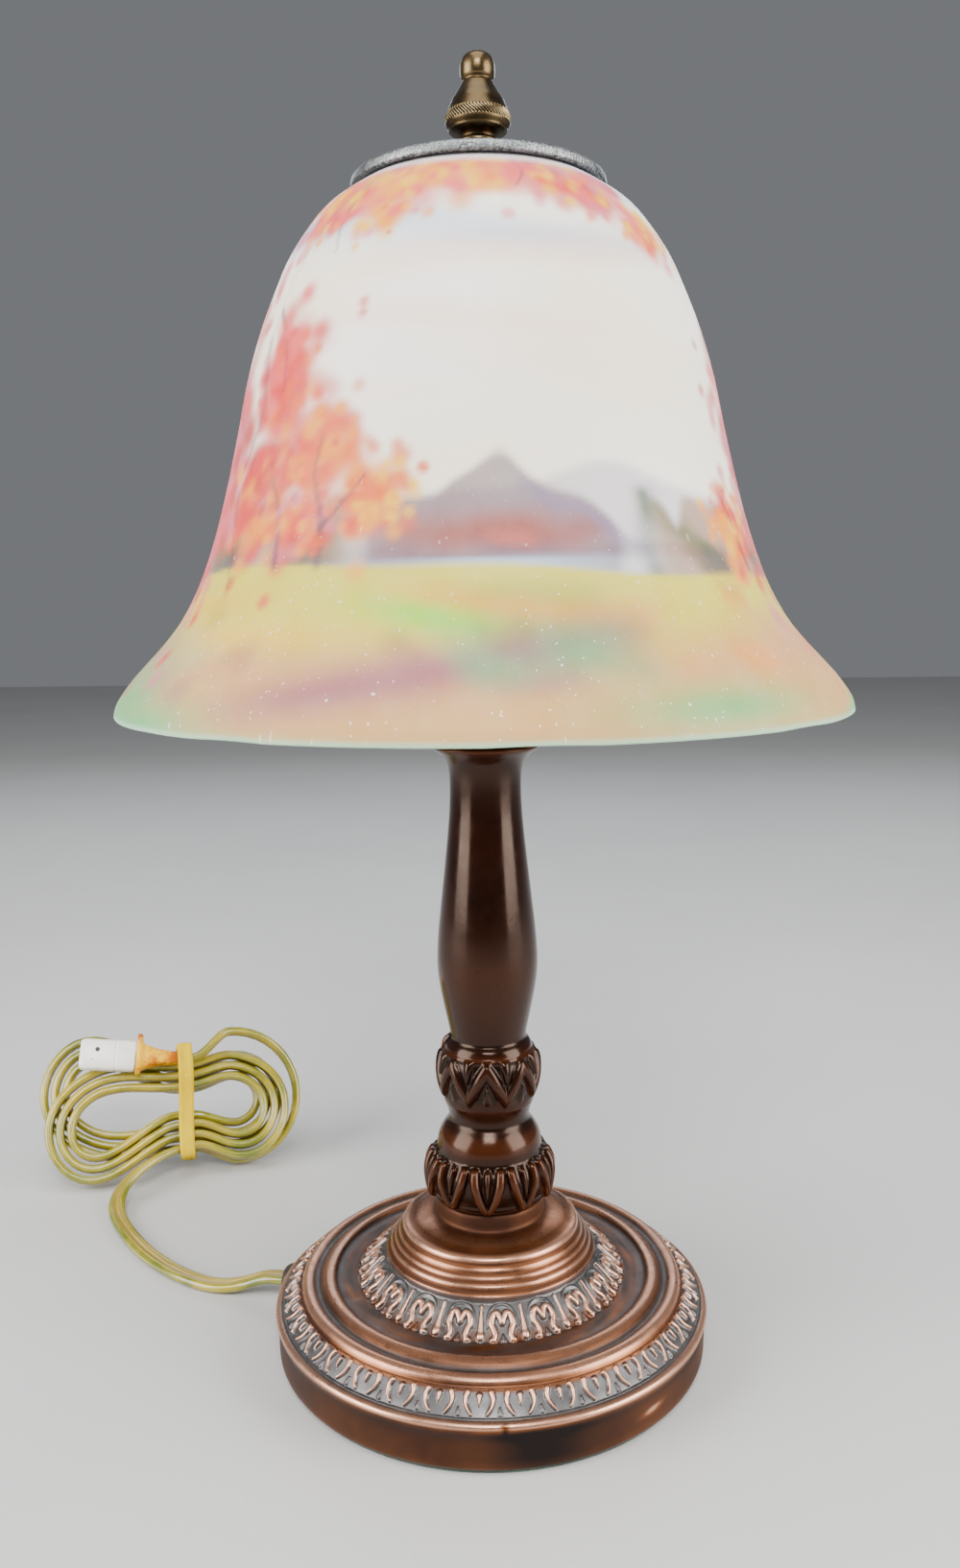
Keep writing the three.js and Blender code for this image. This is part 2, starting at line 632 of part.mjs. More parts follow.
// The loops spiral in through the front layer, climb to the back layer along
// the run where the spiral reverses, and spiral out again
const climbTurn = turnsIn;
const endTurn = turnsIn + turnsOut;
const between = (turn, from, to) => ease((turn - from) / (to - from));
const nearEnd = (turn, [from, to]) => between(turn, endTurn - from * endShare, endTurn - to * endShare);
function hankPoint(turn) {
  const [x, y, outX, outY] = innerLoop(turn);
  const push = pitch * Math.abs(turn - climbTurn) + endPush * nearEnd(turn, pushShares);
  const along = x + push * outX;
  const across = y + push * outY;
  const climb = between(turn, climbTurn - climbShare / 2, climbTurn + climbShare / 2);
  const back = nearEnd(turn, backShares);
  const leftBend = ease((-along - waistFlat) / leftReach);
  const rightBend = ease((along - waistFlat) / rightReach);
  const bend = leftBend * THREE.MathUtils.lerp(-frontDropLeft, backRiseLeft, climb)
    - rightBend * frontDropRight * (1 - climb);
  const settled = across + bend - endSettle * nearEnd(turn, settleShares);
  return new THREE.Vector3(along, settled, layerPlane * (1 - 2 * climb + 4 * back));
}

const hankFrom = (count) => Array.from({ length: count + 1 }, (_, i) => hankPoint((endTurn * i) / count));
const acrossLoops = new THREE.Vector3(0, 0, 1);
const loopSection = cordSection(cordWidth, cordThickness, loopSides);
const hankLine = hankFrom(Math.round(endTurn * loopSteps));
const hankLocal = cordRings(hankLine, hankLine.map(() => acrossLoops), loopSection);
const lowest = Math.min(...hankLocal.flat().map((p) => p.clone().applyQuaternion(frameTurn).z));
const hankFrame = new THREE.Group();
hankFrame.quaternion.copy(frameTurn);
hankFrame.position.set(hankPlace[0], hankPlace[1], standGap - lowest);
group.add(hankFrame);
addPiece("cord_hank", tube(hankLocal), cordPlastic, hankFrame);

// The free stretch: out of the bushing, down to the surface, round behind the
// base and up over the front of the hank to its first run
const lyingHeight = cordThickness / 2 + standGap;
const cordStart = baseRadius + bushingReach + seatGap;
const routeOnSurface = [
  [-89.5, 25.5], [-99.5, 30], [-109.5, 37.5], [-119.5, 47.5], [-128, 58.5], [-135.5, 70.5], [-141, 83],
].map(([x, y]) => new THREE.Vector3(x, y, lyingHeight));
const routeOnHank = [
  [-28.5, -32, 13.2], [-24, -28, 12.4], [-19.5, -24.6, 11.2], [-15.5, -22.2, 9.4], [-12, -20.4, 6.6],
  [-9, -18.9, 4.4], [-6.2, -17.9, 3.6], [-3, -17.5, 3.45],
].map((p) => new THREE.Vector3(...p).applyQuaternion(frameTurn).add(hankFrame.position));
const hankStart = hankPoint(0).setX(-seatGap).applyQuaternion(frameTurn).add(hankFrame.position);
const route = [
  atExit(cordStart, exitHeight), atExit(cordStart + cordWidth, exitHeight),
  atExit(cordStart + exitDropShare * cordWidth, exitHeight / 2), ...routeOnSurface, ...routeOnHank, hankStart,
];
const runCurve = new THREE.CatmullRomCurve3(route, false, "centripetal");
const runSteps = Math.min(Math.round(runCurve.getLength() / (runStepShare * cordWidth)), mostRunSteps);
const runLine = runCurve.getSpacedPoints(runSteps);
const upright = new THREE.Vector3(0, 0, 1);
const hankBroad = acrossLoops.clone().applyQuaternion(frameTurn);
const runBroad = runLine.map((p, i) => {
  const along = runLine[Math.min(i + 1, runSteps)].clone().sub(runLine[Math.max(i - 1, 0)]);
  const onHank = ease((i / runSteps - broadShare) / (1 - broadShare));
  return along.cross(upright).normalize().lerp(hankBroad, onHank);
});
const runSection = cordSection(cordWidth, cordThickness, cordSides);
addPiece("cord_run", tube(cordRings(runLine, runBroad, runSection)), cordPlastic);

// The lead inside the lamp: from the bushing under the weight, up the pipe
// and into the socket
const leadHeight = feltThickness + leadThickness / 2 + leadRise;
const leadInBase = [
  atExit(baseRadius - bushingDepth - seatGap, exitHeight), atExit(baseRadius - 2 * bushingDepth, exitHeight),
  atExit(weightRadius, leadHeight), atExit(weightRadius / 2, leadHeight),
  atExit(4 * leadThickness, leadHeight),
  atExit(leadTurnShare * leadThickness, leadHeight + leadThickness / 3),
  atExit(0, nutBottom + leadThickness / 2),
];
const leadInPipe = [ceiling, cupBottom, blockBottom - seatGap].map((z) => new THREE.Vector3(0, 0, z));
const leadRoute = [...leadInBase, ...leadInPipe];
const leadCurve = new THREE.CatmullRomCurve3(leadRoute, false, "centripetal");
const leadSpans = leadRoute.length - 1;
const leadLine = [leadRoute[0]];
for (let i = 0; i < leadSpans; i++) {
  const steps = i > 1 && i + 1 < leadInBase.length ? leadSteps : 2;
  for (let k = 1; k <= steps; k++) leadLine.push(leadCurve.getPoint((i + k / steps) / leadSpans));
}
const leadBroad = new THREE.Vector3(-Math.sin(exit), Math.cos(exit), 0);
const leadSection = cordSection(leadWidth, leadThickness, cordSides);
addPiece("inner_lead", tube(cordRings(leadLine, leadLine.map(() => leadBroad), leadSection)), cordPlastic);

// Band round the waist: an outline round everything that it ties
const loopsHigh = waistHalfWidth + pitch * (turnsIn - 0.5) + cordThickness / 2;
const loopsLow = -waistHalfWidth - pitch * turnsIn - cordThickness / 2;
const layersDeep = layerPlane + cordWidth / 2;
const plugPlane = 3 * layerPlane;
const plugLine = hankPoint(endTurn);
const bandCorners = [
  [loopsLow - bandSlack, -layersDeep - bandSlack], [loopsHigh + bandSlack, -layersDeep - bandSlack],
  [plugLine.y + cordThickness + bandSlack, plugPlane + cordWidth / 2 + bandSlack],
  [plugLine.y - 2 * cordThickness, plugPlane + cordWidth / 2 + bandSlack],
  [loopsLow - bandSlack, layersDeep + bandSlack],
].map(([x, y]) => new THREE.Vector2(x, y));
const bandMiddle = new THREE.Vector2();
bandCorners.forEach((p) => bandMiddle.addScaledVector(p, 1 / bandCorners.length));
const grownCorner = (p) => p.clone().add(p.clone().sub(bandMiddle).setLength(bandGrowShare * bandWall));
function roundedOutline(corners, radius, Kind) {
  const outline = new Kind();
  corners.forEach((corner, i) => {
    const before = corners[(i + corners.length - 1) % corners.length];
    const after = corners[(i + 1) % corners.length];
    const start = corner.clone().add(before.clone().sub(corner).setLength(radius));
    const end = corner.clone().add(after.clone().sub(corner).setLength(radius));
    if (i === 0) outline.moveTo(start.x, start.y);
    else outline.lineTo(start.x, start.y);
    outline.quadraticCurveTo(corner.x, corner.y, end.x, end.y);
  });
  outline.closePath();
  return outline;
}
const bandOutline = roundedOutline(bandCorners.map(grownCorner), 2 * bandWall, THREE.Shape);
bandOutline.holes.push(roundedOutline(bandCorners, bandWall, THREE.Path));
const bandGeometry = new THREE.ExtrudeGeometry(bandOutline, {
  depth: bandWidth, bevelEnabled: false, curveSegments: bandSteps,
});
bandGeometry.translate(0, 0, -bandWidth / 2).applyMatrix4(new THREE.Matrix4().makeBasis(
  new THREE.Vector3(0, 1, 0), new THREE.Vector3(0, 0, 1), new THREE.Vector3(1, 0, 0),
));
addPiece("hank_band", bandGeometry, yellowBand, hankFrame);

// Plug: amber body with a finger flange, two blades and a white cover. Its
// own frame has x along the plug, away from the cord
const plugFrame = new THREE.Group();
plugFrame.position.copy(plugLine).setX(-2 * seatGap);
plugFrame.rotation.set(0, deg(180 + plugOut), -deg(plugTilt), "ZYX");
hankFrame.add(plugFrame);
function ovalBody(stations, sides) {
  return tube(stations.map(([x, high, deep, lift]) => cordSection(1, 1, sides).map(([y, z]) => (
    new THREE.Vector3(x, lift + 2 * high * y, 2 * deep * z)
  ))));
}
const plugStations = plugShares.map(([x, high, deep, lift]) => [
  x * plugLength, high * flangeHalfHeight, deep * flangeHalfDepth, lift * flangeHalfHeight,
]);
addPiece("plug_body", ovalBody(plugStations, 2 * loopSides), amber, plugFrame);
const coverBottom = plugLength + seatGap;
const coverOuter = coverShares.map(([x, size]) => [
  coverBottom + x * coverLength, size * coverHalfHeight, size * coverHalfDepth, 0,
]);
const pocket = [coverBottom - cutOverrun, coverBottom + coverLength - coverWall].map((x) => [
  x, coverHalfHeight - coverWall, coverHalfDepth - coverWall, 0,
]);
const cover = solid(ovalBody(coverOuter, 2 * loopSides)).subtract(solid(ovalBody(pocket, 2 * loopSides)));
addPiece("plug_cover", toGeometry(cover), whitePlastic, plugFrame);
for (const [side, sign] of [["upper", 1], ["lower", -1]]) {
  const blade = new THREE.BoxGeometry(bladeLength, bladeThickness, bladeHeight / 2)
    .translate(plugLength + seatGap + bladeLength / 2, (sign * bladeSpacing) / 2, 0);
  addPiece(`plug_blade_${side}`, blade, steel, plugFrame);
}

// The least gap between runs of the hank, on points of a finer copy
const fineLine = hankFrom(Math.round(endTurn * loopSteps * gapSteps));
const fineSection = cordSection(cordWidth, cordThickness, 2 * cordSides);
const fineRings = cordRings(fineLine, fineLine.map(() => acrossLoops), fineSection);
let leastGap = Infinity;
const apart = (loopSteps * gapSteps) / 3;
for (let i = 0; i < fineRings.length; i++) {
  for (let j = Math.ceil(i + apart); j < fineRings.length; j++) {
    if (fineLine[i].distanceTo(fineLine[j]) > 2 * cordWidth) continue;
    for (const p of fineRings[i]) {
      for (const q of fineRings[j]) leastGap = Math.min(leastGap, p.distanceTo(q));
    }
  }
}
console.log(`least gap of the hank to itself ${leastGap.toFixed(2)} mm`);
const lengthOf = (line) => line.slice(1).reduce((sum, p, i) => sum + p.distanceTo(line[i]), 0);
console.log(`cord in the hank ${lengthOf(fineLine).toFixed(0)} mm`);
console.log(`cord in the free stretch ${lengthOf(runLine).toFixed(0)} mm`);

export default group;
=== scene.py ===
# A table lamp with a reverse painted glass shade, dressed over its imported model.
# Sizes in the dictionaries are millimetres, unless a note says otherwise; toMesh turns them into metres.
import json
import bmesh
import bpy
import numpy as np
from mathutils import Matrix

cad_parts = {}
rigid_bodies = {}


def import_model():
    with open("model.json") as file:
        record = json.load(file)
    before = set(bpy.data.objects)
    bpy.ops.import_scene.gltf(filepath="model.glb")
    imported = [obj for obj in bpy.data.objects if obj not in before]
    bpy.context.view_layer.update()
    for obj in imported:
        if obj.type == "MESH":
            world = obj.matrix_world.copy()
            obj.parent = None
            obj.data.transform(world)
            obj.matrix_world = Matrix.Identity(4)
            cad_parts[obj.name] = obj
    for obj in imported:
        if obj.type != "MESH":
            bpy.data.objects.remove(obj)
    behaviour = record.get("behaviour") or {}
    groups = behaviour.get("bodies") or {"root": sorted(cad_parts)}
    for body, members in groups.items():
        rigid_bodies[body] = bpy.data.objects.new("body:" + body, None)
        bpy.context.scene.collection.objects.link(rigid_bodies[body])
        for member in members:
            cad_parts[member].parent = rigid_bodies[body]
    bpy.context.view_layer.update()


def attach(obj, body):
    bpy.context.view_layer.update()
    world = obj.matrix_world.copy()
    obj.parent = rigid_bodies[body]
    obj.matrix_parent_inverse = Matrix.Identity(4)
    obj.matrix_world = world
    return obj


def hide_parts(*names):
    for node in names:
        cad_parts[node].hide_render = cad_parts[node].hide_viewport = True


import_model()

mm = 0.001
full = 2 * np.pi
scene = bpy.context.scene


# Numbers and curves

def ease(x):
    # three x squared minus two x cubed, held between 0 and 1
    x = np.clip(x, 0, 1)
    return x * x * (3 - 2 * x)


def step(x, low, high):
    return ease((x - low) / (high - low))


def window(x, a, b, c, d):
    # rises from a to b and falls again from c to d
    return step(x, a, b) * (1 - step(x, c, d))


def mix(a, b, share):
    return a + (b - a) * share


def circle(count):
    # angles at even distances round a full turn
    return np.arange(count) * full / count


def bump(distance, width):
    # a bell: one at no distance, fading over the width
    return np.exp(-(distance / width) ** 2)


def wrapped(angle):
    # an angle brought between minus and plus half a turn
    return (angle + np.pi) % full - np.pi


def distances(line):
    # how far along the line each point lies from its start
    return np.concatenate([[0], np.cumsum(np.linalg.norm(np.diff(line, axis=0), axis=1))])


def curveThrough(points, count):
    # cubic Hermite curve through the points, tangents from their neighbours, by chord length
    points = np.asarray(points, float)
    at = distances(points)
    slope = np.gradient(points, at, axis=0)
    t = np.linspace(0, at[-1], count)
    i = np.clip(np.searchsorted(at, t, side="right") - 1, 0, len(at) - 2)
    span = (at[i + 1] - at[i])[:, None]
    s = ((t - at[i]) / span[:, 0])[:, None]
    a, b = points[i], points[i + 1]
    return ((2 * s**3 - 3 * s**2 + 1) * a + (s**3 - 2 * s**2 + s) * span * slope[i]
            + (3 * s**2 - 2 * s**3) * b + (s**3 - s**2) * span * slope[i + 1])


def softened(points, rounds=3, closed=False):
    # each corner cut at a quarter and three quarters of its sides, again and again
    points = np.asarray(points, float)
    for _ in range(rounds):
        following = np.roll(points, -1, axis=0)
        cut = np.stack([mix(points, following, share) for share in (0.25, 0.75)], axis=1)
        cut = cut.reshape(-1, points.shape[1])
        points = cut if closed else np.concatenate([points[:1], cut[:-2], points[-1:]])
    return points


def spaced(line, count):
    # the same line with its points at even distances
    at = distances(line)
    t = np.linspace(0, at[-1], count)
    return np.stack([np.interp(t, at, line[:, k]) for k in range(line.shape[1])], axis=1)


def unit(vectors):
    return vectors / np.linalg.norm(vectors, axis=-1, keepdims=True)


# Meshes

def toMesh(name, points, closedRows=False, flat=False, capEnds=False, crease=40, uv=None, masks=None):
    # quads between neighbours of a grid of points, rows by columns; a closed side meets its own start
    merge, sliver = 1e-6, 1e-7  # metres under which points merge and edges vanish
    rows, columns = points.shape[:2]
    r = np.arange(rows if closedRows else rows - 1)[:, None]
    c = np.arange(columns - 1 if flat else columns)[None, :]
    rNext = (r + 1) % rows
    cNext = (c + 1) % columns
    quads = np.stack([r * columns + c, r * columns + cNext, rNext * columns + cNext, rNext * columns + c], -1)
    quads = quads.reshape(-1, 4)
    mesh = bpy.data.meshes.new(name)
    faces = quads.tolist()
    if capEnds:
        faces += [list(range(columns))[::-1], list(range((rows - 1) * columns, rows * columns))]
    mesh.from_pydata((points.reshape(-1, 3) * mm).tolist(), [], faces)
    for maskName, values in (masks or {}).items():
        colour = values.ndim == 3
        made = mesh.attributes.new(maskName, "FLOAT_COLOR" if colour else "FLOAT", "POINT")
        if colour:
            values = np.concatenate([values, np.ones(values.shape[:2] + (1,))], axis=2)
        made.data.foreach_set("color" if colour else "value", values.astype(np.float32).ravel())
    if uv is not None:
        # corners more than half a turn behind their face's others lie past the seam, and go up by a turn
        layer = mesh.uv_layers.new(name="UVMap")
        vertices = np.zeros(len(mesh.loops), np.int32)
        mesh.loops.foreach_get("vertex_index", vertices)
        corners = uv.reshape(-1, 2)[vertices]
        inQuads = corners[:len(quads) * 4].reshape(-1, 4, 2)
        inQuads[:, :, 0] += inQuads[:, :, 0].max(1, keepdims=True) - inQuads[:, :, 0] > 0.5
        corners[:len(quads) * 4] = inQuads.reshape(-1, 2)
        layer.data.foreach_set("uv", corners.astype(np.float32).ravel())
    tidy = bmesh.new()
    tidy.from_mesh(mesh)
    bmesh.ops.remove_doubles(tidy, verts=tidy.verts, dist=merge)
    bmesh.ops.dissolve_degenerate(tidy, edges=tidy.edges, dist=sliver)
    bmesh.ops.recalc_face_normals(tidy, faces=tidy.faces)
    tidy.to_mesh(mesh)
    tidy.free()
    mesh.polygons.foreach_set("use_smooth", np.ones(len(mesh.polygons), bool))
    if crease:
        mesh.set_sharp_from_angle(angle=np.radians(crease))
    made = bpy.data.objects.new(name, mesh)
    scene.collection.objects.link(made)
    return made


def turnedPoints(radius, height, angle):
    x, y, z = np.broadcast_arrays(radius * np.cos(angle), radius * np.sin(angle), height)
    return np.stack([x, y, z], axis=-1)


def turnedGrid(profile, sides):
    # the outline of radius and height carried once round the upright axis
    return turnedPoints(profile[:, :1], profile[:, 1:], circle(sides))


def outwards(profile):
    # unit normals of an outline that runs upwards along the outside of a turned piece
    along = unit(np.gradient(profile, axis=0))
    return np.stack([along[:, 1], -along[:, 0]], axis=1)


def tubeRings(line, broad, section):
    # the section at each point of the line, its width along the broad direction, made square to the line
    along = unit(np.gradient(line, axis=0))
    side = unit(broad - along * (broad * along).sum(1, keepdims=True))
    thin = np.cross(along, side)
    return line[:, None] + section[None, :, :1] * side[:, None] + section[None, :, 1:] * thin[:, None]


def ring(radius, sides):
    angle = circle(sides)
    return np.stack([radius * np.cos(angle), radius * np.sin(angle)], axis=1)


def fullOval(width, thickness, sides, fullness=0.55):
    # an oval whose corners fill out as the power of its cosine and sine falls below one
    angle = circle(sides)
    power = lambda v: np.sign(v) * np.abs(v) ** fullness
    return np.stack([power(np.cos(angle)) * width / 2, power(np.sin(angle)) * thickness / 2], axis=1)


def joined(name, pieces):
    # several meshes made one piece
    first = pieces[0]
    with bpy.context.temp_override(active_object=first, object=first, selected_editable_objects=pieces):
        bpy.ops.object.join()
    first.name = name
    return first


def place(piece, material, body, *nodes):
    piece.data.materials.clear()
    piece.data.materials.append(materials[material])
    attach(piece, body)
    if nodes:
        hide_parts(*nodes)
    return piece


# Materials

def addNode(tree, kind, settings=None, **sockets):
    made = tree.nodes.new("ShaderNode" + kind)
    for key, value in (settings or {}).items():
        setattr(made, key, value)
    for key, value in sockets.items():
        socket = made.inputs[int(key[1:]) if key[0] == "i" and key[1:].isdigit() else key.replace("_", " ")]
        if isinstance(value, bpy.types.NodeSocket):
            tree.links.new(value, socket)
        else:
            socket.default_value = value
    return made


def operate(tree, operation, first, second):
    return addNode(tree, "Math", {"operation": operation}, i0=first, i1=second).outputs[0]


def spread(tree, value, low, high):
    # the value's way from low to high, held between 0 and 1
    return addNode(tree, "MapRange", Value=value, From_Min=low, From_Max=high).outputs["Result"]


def levels(tree, value, low, high):
    # 0 to 1 carried to between low and high
    return addNode(tree, "MapRange", Value=value, To_Min=low, To_Max=high).outputs["Result"]


def noise(tree, where, scale, detail, rough=0.5):
    made = addNode(tree, "TexNoise", Vector=where, Scale=scale, Detail=detail, Roughness=rough)
    return made.outputs["Fac"]


def newGroup(name, numbers, output, kind="Float"):
    # a group with number inputs and one output; gives its ends and the place on the object
    tree = bpy.data.node_groups.new(name, "ShaderNodeTree")
    for key, value in numbers.items():
        made = tree.interface.new_socket(key, in_out="INPUT", socket_type="NodeSocketFloat")
        made.default_value = value
    tree.interface.new_socket(output, in_out="OUTPUT", socket_type="NodeSocket" + kind)
    where = addNode(tree, "TexCoord").outputs["Object"]
    given = tree.nodes.new("NodeGroupInput").outputs
    return tree, given, tree.nodes.new("NodeGroupOutput").inputs[0], where


def makeMottle():
    # clouds: noise spread between a low and a high level
    numbers = {"Scale": 60.0, "Detail": 4.0, "Low": 0.35, "High": 0.65}
    tree, given, out, where = newGroup("mottle", numbers, "Mask")
    clouds = noise(tree, where, given["Scale"], given["Detail"], 0.6)
    tree.links.new(spread(tree, clouds, given["Low"], given["High"]), out)
    return tree


def makeGrain():
    # a height of fine noise mixed with broad noise, turned into a normal
    numbers = {"Scale": 900.0, "Strength": 0.2, "Broad": 0.3, "Depth": 0.0002}
    tree, given, out, where = newGroup("grain", numbers, "Normal", "Vector")
    fine = noise(tree, where, given["Scale"], 3.0, 0.6)
    coarse = noise(tree, where, 70.0, 2.0)
    height = addNode(tree, "MixRGB", Fac=given["Broad"], Color1=fine, Color2=coarse).outputs["Color"]
    normal = addNode(tree, "Bump", Strength=given["Strength"], Distance=given["Depth"], Height=height)
    tree.links.new(normal.outputs["Normal"], out)
    return tree


def makeSpecks():
    # small round dots on the cells of a Voronoi pattern, kept where a second noise is high
    numbers = {"Scale": 300.0, "Size": 0.08, "Share": 0.55}
    tree, given, out, where = newGroup("specks", numbers, "Mask")
    cells = addNode(tree, "TexVoronoi", Vector=where, Scale=given["Scale"]).outputs["Distance"]
    dot = operate(tree, "LESS_THAN", cells, given["Size"])
    picked = operate(tree, "GREATER_THAN", noise(tree, where, 90.0, 1.0), given["Share"])
    tree.links.new(operate(tree, "MULTIPLY", dot, picked), out)
    return tree


groups = {"mottle": makeMottle(), "grain": makeGrain(), "specks": makeSpecks()}


def useGroup(tree, name, **sockets):
    made = tree.nodes.new("ShaderNodeGroup")
    made.node_tree = groups[name]
    for key, value in sockets.items():
        made.inputs[key].default_value = value
    return made.outputs[0]


def blend(tree, share, low, high):
    # the low colour turned into the high one by the share
    colour = lambda c: c if isinstance(c, bpy.types.NodeSocket) else (*c, 1)
    return addNode(tree, "MixRGB", Fac=share, Color1=colour(low), Color2=colour(high)).outputs["Color"]


def attribute(tree, name, output="Fac"):
    return addNode(tree, "Attribute", {"attribute_name": name}).outputs[output]


def newMaterial(name, **constants):
    made = bpy.data.materials.new(name)
    made.use_nodes = True
    tree = made.node_tree
    shader = tree.nodes["Principled BSDF"]
    for key, value in constants.items():
        shader.inputs[key.replace("_", " ")].default_value = value
    return made, tree, shader.inputs


# what a look has where it says nothing else; depth is in metres
usual = {"cloudScale": 60.0, "cloudLow": 0.35, "cloudHigh": 0.65, "speckScale": 260.0, "speckSize": 0.1,
         "roughScale": 240.0, "grooveRough": 0.75, "grainScale": 900.0, "grain": 0.2, "broad": 0.3,
         "depth": 0.0002, "plain": {}}


def plainFinish(name, look):
    # two colours mixed by clouds, a third on specks, roughness by finer clouds, grain in the normal
    look = {**usual, **look}
    made, tree, into = newMaterial(name, **look["plain"])
    clouds = useGroup(tree, "mottle", Scale=look["cloudScale"], Low=look["cloudLow"], High=look["cloudHigh"])
    colour = blend(tree, clouds, look["dark"], look["light"])
    if "patina" in look:
        # grey ground of the carved bands, by the piece's own patina mask
        patch = useGroup(tree, "mottle", Scale=150.0, Detail=5.0, Low=0.25, High=0.75)
        aged = blend(tree, patch, look["patina"], look["patinaPale"])
        colour = blend(tree, attribute(tree, "patina"), colour, aged)
    if "wornAndHighlight" in look:
        # worn ridges with a painted highlight where the piece's own wear and shading mask is over a half,
        # dark grooves of grime and painted shade where it is under
        wearAndShading = attribute(tree, "wearAndShading")
        groove = spread(tree, wearAndShading, 0.5, 0.05)
        colour = blend(tree, spread(tree, wearAndShading, 0.5, 1.0), colour, look["wornAndHighlight"])
        colour = blend(tree, groove, colour, look["grimeAndShade"])
    specks = useGroup(tree, "specks", Scale=look["speckScale"], Size=look["speckSize"])
    tree.links.new(blend(tree, specks, colour, look["speck"]), into["Base Color"])
    fine = useGroup(tree, "mottle", Scale=look["roughScale"], Low=0.3, High=0.7)
    rough = levels(tree, fine, *look["rough"])
    if "wornAndHighlight" in look:
        rough = blend(tree, groove, rough, (look["grooveRough"],) * 3)
    tree.links.new(rough, into["Roughness"])
    grain = useGroup(tree, "grain", Scale=look["grainScale"], Strength=look["grain"], Broad=look["broad"],
                     Depth=look["depth"])
    tree.links.new(grain, into["Normal"])
    return made
